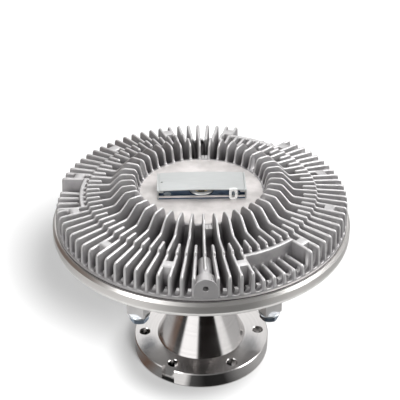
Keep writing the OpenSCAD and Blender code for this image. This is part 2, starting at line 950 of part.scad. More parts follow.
// Washers under the fan bolts' heads
module fan_washers() {
    color([0.72, 0.74, 0.76])
        around(lug_count, lug_phase)
            translate([fan_pcd / 2, 0, 0])
                ring(bolt_r, fan_washer_r, lug_face_z - fan_washer_t, lug_face_z);
}

drive_flange();
drive_shaft();
bearing_inner_ring();
bearing_outer_ring();
bearing_balls();
bearing_cage();
bearing_seals();
bearing_circlip();
rotor();
rotor_washer();
rotor_nut();
rear_housing();
finned_cover();
cover_seal();
separator_plate();
separator_screws();
valve_lever();
lever_rivet();
control_pin();
pin_bush();
pin_seal();
strip_bracket();
bracket_rivets();
bimetal_strip();
strip_clip();
fan_bolts();
fan_washers();
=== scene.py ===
# %% [markdown]
# # A viscous fan clutch in the studio
# This clutch sits between an engine's water pump and its cooling fan. A turned steel hub carries
# a bearing, the bearing carries an aluminium housing, and a finned cover sheds the heat of the
# fluid inside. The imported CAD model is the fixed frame: here it gets its finishes, and the pieces
# whose soft edges the solids leave out are made again as meshes in the same place.

# %% Load the frame
import json
from math import asin, cos, degrees, hypot, pi, radians, sin, tan

import bmesh
import bpy
import numpy as np
from mathutils import Matrix, Vector


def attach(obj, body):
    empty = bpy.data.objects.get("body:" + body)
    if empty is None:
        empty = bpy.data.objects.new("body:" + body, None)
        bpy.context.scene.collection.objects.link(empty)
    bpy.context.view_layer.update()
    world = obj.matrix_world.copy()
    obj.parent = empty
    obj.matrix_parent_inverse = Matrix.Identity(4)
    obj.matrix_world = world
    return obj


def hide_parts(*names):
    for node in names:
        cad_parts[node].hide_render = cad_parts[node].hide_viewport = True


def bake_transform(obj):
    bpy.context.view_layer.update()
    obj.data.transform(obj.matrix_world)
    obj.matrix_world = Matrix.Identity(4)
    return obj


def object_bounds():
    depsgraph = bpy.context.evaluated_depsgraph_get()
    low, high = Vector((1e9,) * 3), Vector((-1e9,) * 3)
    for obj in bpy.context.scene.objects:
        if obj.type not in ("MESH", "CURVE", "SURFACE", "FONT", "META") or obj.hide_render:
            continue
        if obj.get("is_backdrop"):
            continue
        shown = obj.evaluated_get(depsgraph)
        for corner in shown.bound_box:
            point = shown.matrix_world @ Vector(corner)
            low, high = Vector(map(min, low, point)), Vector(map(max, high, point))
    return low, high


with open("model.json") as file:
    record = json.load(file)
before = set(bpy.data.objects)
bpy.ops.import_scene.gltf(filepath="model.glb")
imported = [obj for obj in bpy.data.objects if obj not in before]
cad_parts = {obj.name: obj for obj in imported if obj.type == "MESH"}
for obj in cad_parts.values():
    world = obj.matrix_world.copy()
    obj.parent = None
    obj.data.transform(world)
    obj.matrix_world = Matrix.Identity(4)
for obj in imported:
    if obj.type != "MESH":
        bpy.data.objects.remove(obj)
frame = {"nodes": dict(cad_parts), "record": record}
nodes = frame["nodes"]
cad_box = [list(corner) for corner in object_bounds()]
MM = 0.001


def show(name, data):
    """Links a new object that holds this mesh, lamp or camera."""
    thing = bpy.data.objects.new(name, data)
    bpy.context.scene.collection.objects.link(thing)
    return thing


def new_mesh(name, points, faces, *materials):
    """A mesh from points in metres and faces, with these materials."""
    mesh = bpy.data.meshes.new(name)
    mesh.from_pydata(points, [], faces)
    for material in materials:
        mesh.materials.append(material)
    return mesh


def polar(r, angle):
    """A spot at radius r; angles count from the front, positive to the right."""
    return r * sin(angle), -r * cos(angle)


print("CAD nodes:", len(nodes), "box in mm:", [[round(x / MM, 1) for x in c] for c in cad_box])

# %% [markdown]
# ## Camera
# The clutch is seen from the front and from about 32 degrees above, with a long lens that keeps the
# far fins almost as large as the near ones. The spot and the lens come from fitting a pinhole camera
# to the flange, its holes, the rim and the fins.

# %% Place the camera
CAMERA_SPOT = Vector((-20.4, -736.0, 612.7)) * MM
CAMERA_TILT, CAMERA_TURN = radians(31.98), radians(-1.5)
LENS_MM, SENSOR_MM = 93.95, 36.0
CLIP_NEAR, CLIP_FAR = 0.05, 30.0

level_look = Vector((0, cos(CAMERA_TILT), -sin(CAMERA_TILT)))
look = Matrix.Rotation(CAMERA_TURN, 3, "Z") @ level_look
camera_data = bpy.data.cameras.new("studio_camera")
camera_data.lens = LENS_MM
camera_data.sensor_width = SENSOR_MM
camera_data.clip_start, camera_data.clip_end = CLIP_NEAR, CLIP_FAR
camera = show("studio_camera", camera_data)
camera.location = CAMERA_SPOT
camera.rotation_euler = look.to_track_quat("-Z", "Y").to_euler()
bpy.context.scene.camera = camera
bpy.context.scene.view_settings.view_transform = "Standard"
print("camera at", [round(x, 3) for x in camera.location], "lens", LENS_MM)

# %% [markdown]
# ## Building node trees
# Every finish below is a small tree of shader nodes. A few helpers add nodes to the tree that was
# started last. One starts a shader node group, a box with named inputs and outputs that several
# finishes can share with their own values.

# %% Helpers for node trees
VALUE = "NodeSocketFloat"


def start_tree(owner):
    """Starts the node tree of a material or a world."""
    global tree
    owner.use_nodes = True
    tree = owner.node_tree
    tree.nodes.clear()


def add(kind, inputs=None, **settings):
    """Adds a shader node; an input is a number, a colour or a socket to link."""
    node = tree.nodes.new("ShaderNode" + kind)
    for key, value in settings.items():
        setattr(node, key, value)
    for key, value in (inputs or {}).items():
        if isinstance(value, bpy.types.NodeSocket):
            tree.links.new(value, node.inputs[key])
        else:
            node.inputs[key].default_value = value
    return node


def maths(operation, first, second):
    """Two values combined, such as their product."""
    return add("Math", {0: first, 1: second}, operation=operation).outputs[0]


def ramp(value, start=0.0, end=1.0, low=0.0, high=1.0, **settings):
    """A number that runs from low to high as value goes from start to end."""
    return add("MapRange", {0: value, 1: start, 2: end, 3: low, 4: high}, **settings).outputs[0]


def mix(factor, low, high):
    """A colour that runs from low to high with factor; each is a colour or a socket."""
    low, high = ((*tone, 1) if isinstance(tone, tuple) else tone for tone in (low, high))
    return add("Mix", {0: factor, 6: low, 7: high}, data_type="RGBA").outputs[2]


def noise(where, scale, detail, inputs=None, **settings):
    """The value of a noise texture."""
    spread = {"Vector": where, "Scale": scale, "Detail": detail, **(inputs or {})}
    return add("TexNoise", spread, **settings).outputs[0]


def join(*pairs):
    """Links pairs of sockets."""
    for source, target in pairs:
        tree.links.new(source, target)


def start_group(name, inputs, outputs):
    """A node group with inputs {name: value} and named outputs, all numbers."""
    global tree
    tree = bpy.data.node_groups.new(name, "ShaderNodeTree")
    for label, value in inputs.items():
        tree.interface.new_socket(label, in_out="INPUT", socket_type=VALUE).default_value = value
    for label in outputs:
        tree.interface.new_socket(label, in_out="OUTPUT", socket_type=VALUE)
    return tree, tree.nodes.new("NodeGroupInput").outputs, tree.nodes.new("NodeGroupOutput").inputs


print("node helpers ready")

# %% [markdown]
# ## World, floor and lamps
# The clutch stands on a white sweep. A white world that only the camera and reflections see gives
# the clean background, and a weaker grey one lights the object, so the white never floods it. The
# floor glows a little for the same rays, which lifts it to white where it is lit and leaves the
# soft shadow to the left. Close to the flange a painted shadow darkens the paper, as wherever two
# things touch, and under the flange the paper is painted almost black.

# %% Make the world and the floor
WHITE, FLOOR_TONE, SHADE_TONE = (1, 1, 1, 1), (0.8, 0.8, 0.8), (0, 0, 0)
AMBIENT, FLOOR_LIFT, FLOOR_HALF = 0.12, 0.2, 6.0
CONTACT_SPOT = (-0.012, -0.012, 0)
CONTACT_FROM, CONTACT_FULL, PAINTED_CONTACT_TONE = 0.046, 0.080, 0.47
UNDER_R, UNDER_SOFT, PAINTED_UNDER_TONE = 0.0585, 0.0015, 0.03


def sees_background():
    """1 for rays that see the white background: camera, glossy and transmission."""
    path = add("LightPath").outputs
    first = maths("MAXIMUM", path["Is Camera Ray"], path["Is Glossy Ray"])
    return maths("MAXIMUM", first, path["Is Transmission Ray"])


world = bpy.data.worlds.new("white_studio")
start_tree(world)
shown = add("Background", {"Color": WHITE, "Strength": 1.0})
ambient = add("Background", {"Color": WHITE, "Strength": AMBIENT})
sky_mix = add("MixShader", {0: sees_background(), 1: ambient.outputs[0], 2: shown.outputs[0]})
add("OutputWorld", {"Surface": sky_mix.outputs[0]})
bpy.context.scene.world = world

sweep = bpy.data.materials.new("white_sweep")
start_tree(sweep)
where = add("TexCoord").outputs["Object"]
from_axis = add("VectorMath", {0: where}, operation="LENGTH").outputs["Value"]
# Painted shade: the paper is darkened near the flange, most to its front left, and painted almost black under
# it.
under = ramp(from_axis, UNDER_R, UNDER_R + UNDER_SOFT, PAINTED_UNDER_TONE)
beside = add("VectorMath", {0: where, 1: CONTACT_SPOT}, operation="DISTANCE").outputs["Value"]
painted_contact_shade = ramp(beside, CONTACT_FROM, CONTACT_FULL, PAINTED_CONTACT_TONE, interpolation_type="SMOOTHSTEP")
shade = maths("MULTIPLY", under, painted_contact_shade)
paper = add("BsdfDiffuse", {"Color": mix(shade, SHADE_TONE, FLOOR_TONE)})
seen = maths("MULTIPLY", sees_background(), shade)
glow = add("Emission", {"Color": WHITE, "Strength": maths("MULTIPLY", seen, FLOOR_LIFT)})
both = add("AddShader", {0: paper.outputs[0], 1: glow.outputs[0]})
add("OutputMaterial", {"Surface": both.outputs[0]})

floor_corners = [(x * FLOOR_HALF, y * FLOOR_HALF, 0) for x, y in ((-1, -1), (1, -1), (1, 1), (-1, 1))]
floor = show("studio_floor", new_mesh("studio_floor", floor_corners, [(0, 1, 2, 3)], sweep))
floor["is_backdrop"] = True
print("world and floor ready")

# %% [markdown]
# The main lamp is far away at the front right, so it lights the whole floor evenly and throws a soft
# shadow to the left and back. It stays out of reflections, so no bright spot of it sits in the dark
# bands of the steel. A soft box at the front left lights the fins' left faces, and one high at the
# back draws the bright lines along the crests.

# %% Set up the lamps
AIM = Vector((0, 0, 0.12))
FAR_FROM = (0.40, -0.89, 0.86)
FAR_POWER, FAR_SPREAD = 4.2, 20.0


def soft_box(name, spot, size, power):
    """An area lamp that faces the clutch."""
    data = bpy.data.lights.new(name, "AREA")
    data.shape = "RECTANGLE"
    data.size, data.size_y = size
    data.energy = power
    lamp = show(name, data)
    lamp.location = spot
    lamp.rotation_euler = (AIM - Vector(spot)).to_track_quat("-Z", "Y").to_euler()


far_data = bpy.data.lights.new("far_lamp", "SUN")
far_data.energy = FAR_POWER
far_data.angle = radians(FAR_SPREAD)
far_lamp = show("far_lamp", far_data)
far_lamp.rotation_euler = (-Vector(FAR_FROM)).to_track_quat("-Z", "Y").to_euler()
far_lamp.visible_glossy = False
soft_box("left_box", (-0.80, -0.70, 0.90), (0.45, 0.6), 4.0)
soft_box("back_box", (-0.15, 0.70, 1.30), (0.8, 0.5), 4.0)
print("lamps:", [lamp.name for lamp in bpy.data.lights])

# %% [markdown]
# Metal only looks like metal if it has something dark to mirror. A photographer stands grey and
# black flags around the object for that. Here one screen stands all around, a ceiling, dark but for
# its bright bands, closes it, and four rings lie on the floor, one of them under the flange's holes.
# They glow, from black to six times white, and only reflections see them, so they draw dark bands
# and painted highlights on the steel but take no light and throw no shadow.

# %% Stand the flags
SCREEN_R, SCREEN_TOP, CEILING_R, CEILING_Z = 1.6, 0.78, 0.01, 1.9
FAR_RING_R, WIDE_RING_R, NEAR_RING_R, HOLE_RING_R = 0.5, 0.11, 0.0605, (0.0462, 0.0553)
FAR_RING_Z, WIDE_RING_Z, HOLE_RING_Z, NEAR_RING_Z = 0.0002, 0.0004, 0.0005, 0.0006
LIT_FROM, LIT_TO, LIT_SOFT, SHINE_LEFT, SHINE_RIGHT = -5.0, -1.8, 0.5, 1.6, 0.5
FLAG_STEP = 0.5
BROWN, BLACK = (0.16, 0.105, 0.08), (0.006, 0.004, 0.0035)

card_finish = bpy.data.materials.new("flag_card")
start_tree(card_finish)
card_tone = add("Attribute", attribute_name="tone").outputs["Color"]
card_glow = add("Emission", {"Color": card_tone, "Strength": 1.0})
add("OutputMaterial", {"Surface": card_glow.outputs[0]})


def flag(name, near, far, stops):
    """A strip between two rings (r, z) in metres; stops are (angle, grey or colour)."""
    turns = np.arange(-180.0, 180.0 + FLAG_STEP, FLAG_STEP)
    count = len(turns)
    stop_turns = [a for a, tone in stops]
    tones = np.array([tone if isinstance(tone, tuple) else (tone,) * 3 for a, tone in stops])
    channels = [np.interp(turns, stop_turns, channel) for channel in tones.T] + [np.ones(count)]
    colours = np.tile(np.stack(channels, axis=1).astype(np.float32), (2, 1))
    spots = [(*polar(r, a), z) for r, z in (near, far) for a in np.radians(turns)]
    quads = [(k, k + 1, count + k + 1, count + k) for k in range(count - 1)]
    mesh = new_mesh(name, spots, quads, card_finish)
    mesh.attributes.new("tone", "FLOAT_COLOR", "POINT").data.foreach_set("color", colours.ravel())
    card = show(name, mesh)
    card.visible_camera = card.visible_diffuse = card.visible_shadow = False
    card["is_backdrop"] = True


flag("screen", (SCREEN_R, 0.0), (SCREEN_R, SCREEN_TOP), [
    (-180, 1.25), (-152, 1.1), (-142, 0.30), (-120, BROWN), (-76, BROWN), (-68, 0.04), (-57, 0.03),
    (-51, 1.4), (-14, 1.4), (-8, BLACK), (46, BLACK), (52, 1.15), (72, 1.05), (82, 0.55), (110, 0.60),
    (140, 0.75), (152, 1.1), (180, 1.25)])
# Painted highlights: the ceiling's bright bands, six times white at the right, give the bright lines on the
# rim's bevel and the flange's chamfer.
flag("ceiling", (SCREEN_R, SCREEN_TOP), (CEILING_R, CEILING_Z), [
    (-180, 1.25), (-150, 0.7), (-105, 0.25), (-83, 0.20), (-77, 1.05), (-24, 1.05), (-14, 0.35), (0, 0.2),
    (50, 0.2), (62, 0.4), (67, 6.0), (117, 6.0), (124, 0.4), (150, 0.7), (180, 1.25)])
FRONT_STOPS = [(-42, 0.95), (-26, 0.65), (-12, 0.26), (-2, 0.18), (28, 0.18), (40, 0.45), (60, 0.7),
               (90, 0.55), (180, 0.5)]
flag("far_ring", (FAR_RING_R, FAR_RING_Z), (SCREEN_R, FAR_RING_Z), [
    (-180, 0.5), (-135, 0.45), (-118, BROWN), (-78, BROWN), (-66, 0.3)] + FRONT_STOPS)
flag("wide_ring", (WIDE_RING_R, WIDE_RING_Z), (FAR_RING_R, WIDE_RING_Z), [
    (-180, 0.5), (-110, 0.5), (-80, 0.8)] + FRONT_STOPS)
flag("near_ring", (NEAR_RING_R, NEAR_RING_Z), (WIDE_RING_R, NEAR_RING_Z), [
    (-180, 0.4), (-100, 0.35), (-84, 0.20), (-60, BROWN), (-44, 0.25), (-31.5, 0.22), (-30, 1.0), (-17, 1.0),
    (-11, 0.10), (2, 0.02), (20, 0.03), (34, 0.25), (60, 0.50), (100, 0.42), (180, 0.4)])
# Painted reflection: the hole ring glows beside each hole, which puts a bright stripe on the hole's wall,
# brighter in the holes on the left.
hole_stops = [(-180, 0.0)]
for a in range(-150, 180, 60):
    shine = SHINE_LEFT if a < 0 else SHINE_RIGHT
    lit_from, lit_to = a + LIT_FROM, a + LIT_TO
    hole_stops += [(lit_from - LIT_SOFT, 0.0), (lit_from, shine), (lit_to, shine), (lit_to + LIT_SOFT, 0.0)]
flag("hole_ring", *((r, HOLE_RING_Z) for r in HOLE_RING_R), hole_stops + [(180, 0.0)])
print("flags: a screen, a ceiling and four rings")

# %% [markdown]
# ## Shared surface effects
# Each effect is one node group, driven by the object's own coordinates, so it has its true size in
# millimetres on every piece. The first is for cast metal, which has a fine grain and a faint mottle.

# %% Node group for cast grain
MM_PER_M = 1000.0


def per_metre(size_mm):
    """The noise scale that gives a feature this size."""
    return maths("DIVIDE", MM_PER_M, size_mm)


cast_grain, cast_in, cast_out = start_group(
    "cast_grain", {"Grain mm": 0.7, "Mottle mm": 9.0}, ["Height", "Tone"])
where = add("TexCoord").outputs["Object"]
fine = noise(where, per_metre(cast_in["Grain mm"]), 3.0, {"Roughness": 0.62})
broad = noise(where, per_metre(cast_in["Mottle mm"]), 4.0)
grain_height = maths("ADD", fine, maths("MULTIPLY", broad, 0.5))
join((grain_height, cast_out["Height"]), (ramp(broad, 0.32, 0.68), cast_out["Tone"]))
print("group", cast_grain.name)

# %% [markdown]
# Turned metal has rings that run around the axis, because the tool cuts a spiral. The group also
# gives each point's distance from the axis and its height, for a finish that changes with them.

# %% Node group for turning marks
BAND_SHARE = 0.12

turning_marks, turn_in, turn_out = start_group(
    "turning_marks", {"Pitch mm": 0.3}, ["Height", "Streak", "Radius mm", "Level mm"])
place = add("SeparateXYZ", {0: add("TexCoord").outputs["Object"]}).outputs
flat = add("CombineXYZ", {0: place[0], 1: place[1]}).outputs[0]
radius = add("VectorMath", {0: flat}, operation="LENGTH").outputs["Value"]
profile = add("CombineXYZ", {0: radius, 1: place[2]}).outputs[0]
line_scale = per_metre(turn_in["Pitch mm"])
band_scale = maths("MULTIPLY", line_scale, BAND_SHARE)
join((noise(profile, line_scale, 2.0, noise_dimensions="2D"), turn_out["Height"]),
     (noise(profile, band_scale, 3.0, noise_dimensions="2D"), turn_out["Streak"]),
     (maths("MULTIPLY", radius, MM_PER_M), turn_out["Radius mm"]),
     (maths("MULTIPLY", place[2], MM_PER_M), turn_out["Level mm"]))
print("group", turning_marks.name)

# %% [markdown]
# Any metal that was handled has faint smears that change its gloss.

# %% Node group for handling smears
handling, hand_in, hand_out = start_group("handling_smears", {"Size mm": 30.0}, ["Smear"])
where = add("TexCoord").outputs["Object"]
cloud = noise(where, per_metre(hand_in["Size mm"]), 5.0, {"Distortion": 0.6})
join((ramp(cloud, 0.42, 0.66), hand_out["Smear"]))
print("group", handling.name)

# %% [markdown]
# ## Finishes
# A finish starts from a Principled shader with plain values. Each cell then places the shared
# groups that its metal needs, and links them to colour, roughness and bump.

# %% Helpers for finishes
finishes = {}
ACROSS = 0.25


def start_finish(name, colour, metallic, roughness, spread=0.0):
    """A Principled finish; spread draws reflections out across rings that run around the axis."""
    finishes[name] = bpy.data.materials.new(name)
    start_tree(finishes[name])
    plain = {"Base Color": (*colour, 1), "Metallic": metallic, "Roughness": roughness}
    if spread:
        around = add("Tangent", direction_type="RADIAL", axis="Z").outputs[0]
        plain |= {"Anisotropic": spread, "Anisotropic Rotation": ACROSS, "Tangent": around}
    shader = add("BsdfPrincipled", plain)
    add("OutputMaterial", {"Surface": shader.outputs[0]})


def use(group, *values):
    """Places a shared group with values in the order of its inputs; returns its outputs."""
    return add("Group", dict(enumerate(values)), node_tree=group).outputs


def dress(pattern, tones, shine, gloss, height, strength, depth_mm):
    """Links a colour and a roughness, each between two ends, and a bump from a height."""
    sockets = tree.nodes["Principled BSDF"].inputs
    bump = add("Bump", {"Height": height, "Strength": strength, "Distance": depth_mm * MM})
    join((mix(pattern, *tones), sockets["Base Color"]), (ramp(shine, 0, 1, *gloss), sockets["Roughness"]),
         (bump.outputs[0], sockets["Normal"]))


print("finish helpers ready")

# %% [markdown]
# The cover is die-cast aluminium: grey, with a fine grain. Its crests are mixed towards a brighter
# tone, partly wear from the tumbling that removes the flash and partly a painted highlight, and the
# depth of the gaps is painted almost black, a painted shade. The mesh carries both as numbers per
# point, crest and depth, so they follow the real edges. The disc in the middle was blasted and is paler.

# %% Cast aluminium
SHADE_AND_SEAM_TONE, CREST_TONE = (0.07, 0.062, 0.066), (0.56, 0.55, 0.55)

start_finish("cast_aluminium", (0.62, 0.61, 0.61), 0.85, 0.5)
grain = use(cast_grain, 0.6, 8.0)
# The crest mark mixes towards a bright tone, partly wear and partly painted highlight; the depth mark mixes
# the gap floors towards almost black, a painted shade, and also the groove under the lip, a real dark joint.
wear_and_highlight = add("Attribute", attribute_name="crest").outputs["Fac"]
deep = add("Attribute", attribute_name="depth").outputs["Fac"]
skin = mix(grain["Tone"], (0.28, 0.27, 0.28), (0.38, 0.37, 0.37))
dress(wear_and_highlight, (mix(deep, skin, SHADE_AND_SEAM_TONE), CREST_TONE), wear_and_highlight, (0.56, 0.42), grain["Height"], 0.4, 0.12)

start_finish("blasted_disc", (0.80, 0.77, 0.75), 0.75, 0.6)
grain = use(cast_grain, 0.45, 14.0)
dress(grain["Tone"], ((0.51, 0.49, 0.48), (0.66, 0.63, 0.62)), grain["Tone"], (0.66, 0.54),
      grain["Height"], 0.35, 0.08)
print("two cast finishes")

# %% [markdown]
# The housing is cast too, but its rim is turned on a lathe. The finish reads the distance from
# the axis: inside the rim it shows grain, and on the rim it shows turning rings and more gloss.
# The upright band of the rim is painted a little darker than the bevels above and below it, a
# painted dark reflection, and the lugs below the rim are milled and glossier. The rings spread a
# reflection across them, which the shader's anisotropic setting does; its tangent runs around the
# axis, so it needs a quarter turn.

# %% Machined aluminium
RIM_INNER_MM, LUG_TOP_MM, SOFT_MM = 112.5, 126.0, 1.0
BAND_LOW_MM, BAND_HIGH_MM, BAND_EDGE_MM = 130.7, 136.8, 0.3

start_finish("machined_aluminium", (0.72, 0.71, 0.69), 0.95, 0.35, 0.45)
rings = use(turning_marks, 0.35)
grain = use(cast_grain, 0.7, 11.0)
level = rings["Level mm"]
on_rim = ramp(rings["Radius mm"], RIM_INNER_MM, RIM_INNER_MM + SOFT_MM)
above = ramp(level, BAND_LOW_MM - BAND_EDGE_MM, BAND_LOW_MM + BAND_EDGE_MM)
below = ramp(level, BAND_HIGH_MM + BAND_EDGE_MM, BAND_HIGH_MM - BAND_EDGE_MM)
on_lug = ramp(level, LUG_TOP_MM + SOFT_MM, LUG_TOP_MM - SOFT_MM)
bevel_tone = mix(rings["Streak"], (0.64, 0.62, 0.60), (0.74, 0.72, 0.70))
# Painted reflection: the upright band's tone is a little darker than the bevels'.
band_tone = mix(rings["Streak"], (0.58, 0.56, 0.54), (0.70, 0.68, 0.66))
turned_tone = mix(maths("MULTIPLY", above, below), bevel_tone, band_tone)
cast_tone = mix(grain["Tone"], (0.46, 0.45, 0.45), (0.56, 0.55, 0.54))
cast_gloss = ramp(on_lug, low=0.50, high=0.28)
rim_gloss = ramp(rings["Streak"], low=0.24, high=0.36)
height = ramp(on_rim, low=grain["Height"], high=rings["Height"])
dress(on_rim, (cast_tone, turned_tone), on_rim, (cast_gloss, rim_gloss), height, 0.25, 0.05)
print("finish: machined aluminium")

# %% [markdown]
# The hub is turned from steel bar. Its fine rings spread a reflection along the axis and not
# around it, so light stands on it in upright bands, as it does on the rim.

# %% Turned steel
start_finish("turned_steel", (0.60, 0.58, 0.56), 1.0, 0.16, 0.6)
rings = use(turning_marks, 0.22)
smear = use(handling, 26.0)
dress(rings["Streak"], ((0.62, 0.60, 0.59), (0.72, 0.70, 0.69)), smear["Smear"], (0.14, 0.19),
      rings["Height"], 0.15, 0.02)

start_finish("bearing_steel", (0.72, 0.72, 0.73), 1.0, 0.16)
rings = use(turning_marks, 0.12)
smear = use(handling, 12.0)
dress(rings["Streak"], ((0.68, 0.68, 0.69), (0.76, 0.76, 0.77)), smear["Smear"], (0.12, 0.22),
      rings["Height"], 0.1, 0.01)
print("two steel finishes")

# %% [markdown]
# The small metal pieces differ in tone and gloss: dark tempered spring steel, bright sheet steel,
# zinc plate with its bluish mottle, blued steel and brass. Rubber takes the same helper.

# %% Sheet, spring, zinc, brass and rubber
SMEAR_SHARE, PLATE_BUMP = 2.5, 0.2


def plated(name, low, high, metallic, rough_low, rough_high, grain_mm, mottle_mm, depth_mm=0.03):
    """A finish with mottled colour and gloss."""
    start_finish(name, high, metallic, rough_high)
    grain = use(cast_grain, grain_mm, mottle_mm)
    smear = use(handling, SMEAR_SHARE * mottle_mm)
    dress(grain["Tone"], (low, high), smear["Smear"], (rough_low, rough_high), grain["Height"],
          PLATE_BUMP, depth_mm)


plated("spring_steel", (0.34, 0.34, 0.36), (0.46, 0.46, 0.48), 1.0, 0.26, 0.38, 0.4, 5.0)
plated("sheet_steel", (0.72, 0.72, 0.71), (0.82, 0.82, 0.81), 0.55, 0.20, 0.30, 0.5, 7.0, 0.02)
plated("zinc_steel", (0.56, 0.61, 0.66), (0.74, 0.77, 0.80), 1.0, 0.12, 0.22, 0.35, 3.0)
plated("dark_zinc", (0.13, 0.17, 0.23), (0.30, 0.36, 0.43), 1.0, 0.09, 0.18, 0.35, 3.0)
plated("cage_brass", (0.64, 0.48, 0.24), (0.76, 0.60, 0.33), 1.0, 0.24, 0.36, 0.4, 4.0)
plated("blued_steel", (0.09, 0.125, 0.19), (0.19, 0.26, 0.36), 1.0, 0.12, 0.22, 0.5, 9.0, 0.02)
plated("rolled_edge", (0.60, 0.59, 0.57), (0.70, 0.69, 0.67), 0.45, 0.28, 0.40, 0.5, 9.0)
plated("black_rubber", (0.025, 0.025, 0.026), (0.045, 0.045, 0.045), 0.0, 0.55, 0.72, 0.3, 4.0)
print("finishes so far:", list(finishes))

# %% [markdown]
# Rolled sheet has lines along its length. A noise whose coordinates are stretched that way gives
# them, and the pale bimetal shows them most.

# %% Rolled bimetal
ROLL_STRETCH, ROLL_SCALE = (0.06, 1.0, 1.0), 1400.0

start_finish("bimetal", (0.82, 0.83, 0.83), 0.9, 0.34)
along = add("Mapping", {0: add("TexCoord").outputs["Object"], 3: ROLL_STRETCH}).outputs[0]
lines = noise(along, ROLL_SCALE, 3.0)
smear = use(handling, 22.0)
dress(lines, ((0.43, 0.445, 0.445), (0.54, 0.55, 0.545)), smear["Smear"], (0.30, 0.42),
      lines, 0.15, 0.02)
print("finish: bimetal")

# %% [markdown]
# Each CAD node already has a material slot from the record. Swapping the finish in that slot keeps
# the solid as it is and only changes how it looks.

# %% Give every CAD node its finish
for part in frame["record"]["subparts"]:
    nodes[part["node"]].material_slots[0].material = finishes[part["material_slot"]]

# %% [markdown]
# ## The finned cover
# The cover takes the most skill. Every fin of the casting tapers, has a round crest and grows out
# of the floor in a fillet. Bevelling 84 fins is slow and fragile, so the cover is woven as one grid:
# ten columns cross each fin and its gap, and rows run outwards over the crown, the slope, the step
# and the outer end.

# %% Outlines of the fins
FINS = 84
FIN_PITCH = 2 * pi / FINS
SECTOR = 28
LIP_Z, OUTER_Z, STEP_Z, MID_Z, CROWN_Z, DISC_Z, LOW_Z = 143.3, 160.8, 162.6, 166.3, 176.3, 162.6, 152.2
COVER_R, FIN_END_R, SHORT_R, CROWN_R = 121.0, 120.4, 83.4, 50.2


def soften(points):
    """Rounds a line of (r, z, reach): each corner becomes a curve of its reach."""
    line = [points[0][:2]]
    for before, at, after in zip(points, points[1:], points[2:]):
        ends = []
        for other in (before, after):
            run = hypot(other[0] - at[0], other[1] - at[1])
            step = min(at[2], 0.45 * run) / run
            ends.append((at[0] + (other[0] - at[0]) * step, at[1] + (other[1] - at[1]) * step))
        for t in (0.0, 0.25, 0.5, 0.75, 1.0):
            line.append(tuple((1 - t) ** 2 * a + 2 * t * (1 - t) * b + t * t * c
                              for a, b, c in zip(ends[0], at, ends[1])))
    return np.array(line + [points[-1][:2]]).T


def end_part(top_z):
    """Outer end of a fin: a round corner and a face that leans out to the lip."""
    return [(118.7, top_z, 1.4), (120.2, top_z - 1.5, 0.7), (COVER_R, LIP_Z - 0.7, 0)]


CROWN_PART = [(CROWN_R, DISC_Z, 0), (51.5, 163.4, 0.6), (52.6, 165.6, 0.8), (53.2, 169.0, 1.2),
              (53.8, 172.6, 1.2), (54.9, 174.9, 1.0), (56.8, CROWN_Z, 1.0), (66.8, CROWN_Z, 2.2),
              (76.2, MID_Z, 1.8)]
SHORT_PART = [(SHORT_R, MID_Z - 1.6, 0), (84.2, MID_Z - 0.4, 0.6)]
STEP_PART = [(94.6, MID_Z - 0.7, 0.9), (96.0, STEP_Z, 0.9)]
WALL_PART = [(97.0, STEP_Z - 0.7, 0), (97.35, STEP_Z, 0.2), (100.0, STEP_Z, 0.4), (100.6, STEP_Z - 0.7, 0.4),
             (101.1, 156.5, 0), (101.3, 154.0, 0)]
OUTER_PART = STEP_PART + end_part(OUTER_Z)
LOW_PART = STEP_PART + WALL_PART[2:] + [(101.5, LOW_Z - 1.0, 0.2), (102.6, LOW_Z + 0.1, 0.8)]
LOW_PART += end_part(LOW_Z)
tops = {
    ("long", "full"): soften(CROWN_PART + OUTER_PART),
    ("long", "low"): soften(CROWN_PART + LOW_PART),
    ("short", "full"): soften(SHORT_PART + OUTER_PART),
    ("short", "low"): soften(SHORT_PART + LOW_PART),
}
wall_line = soften(WALL_PART)
floor_line = np.array([(0, DISC_Z), (52.6, DISC_Z), (54.2, DISC_Z - 3), (62, LIP_Z + 6), (78, LIP_Z + 1.2),
                       (120.4, LIP_Z), (120.85, LIP_Z - 0.2), (COVER_R, LIP_Z - 0.7)]).T
print("fin outlines:", {key: value.shape[1] for key, value in tops.items()})

# %% [markdown]
# The rows stand close together where the outline turns and far apart where it runs straight. A
# wall that faces outwards or inwards is a few rows almost on top of each other. Three pockets in
# the outer ring have low fins behind a smooth wall, and a flat pad bridges every seventh gap. A
# low block stands at the outer end of each gap, against the fin on its right.

# %% Rows and per-fin heights
ROWS = np.array([
    50.2, 50.7, 51.2, 51.7, 52.2, 52.7, 53.1, 53.5, 53.9, 54.4, 54.9, 55.6, 56.4, 57.2, 58.2, 58.45, 58.5,
    62.0, 64.6, 65.6, 66.6, 67.6, 68.8, 71.5, 74.5, 75.6, 76.6, 77.8, 81.0, 83.35, 83.4, 83.5, 83.7, 84.0,
    84.4, 85.0, 86.2, 90.0, 93.4, 94.0, 94.4, 94.7, 95.1, 95.5, 95.9, 96.4, 96.95, 97.0, 97.35, 99.5,
    100.0, 100.3, 100.6, 100.85, 101.1, 101.3, 101.34, 101.5, 102.0, 102.15, 102.2, 102.55, 103.2, 106.5,
    109.9, 110.3, 110.35, 113.0, 114.7, 114.8, 116.5, 117.6, 118.2, 118.3, 118.8, 119.3, 119.7, 120.0,
    120.2, 120.3, 120.4, 120.5, 120.65, 120.85, 121.0])
POCKETS, POCKET_HALF = [7, 35, 63], 3
PAD_EVERY, PAD_AT = 7, 3
PAD_LINE = np.array([(102.2, OUTER_Z + 0.1), (102.55, OUTER_Z + 0.8), (109.9, OUTER_Z + 0.8),
                     (110.3, OUTER_Z + 0.1)]).T
INNER_PADS, INNER_PAD_R = (0, 1, 12, 13), 58.46
FILLER_FIN_END = 109.9
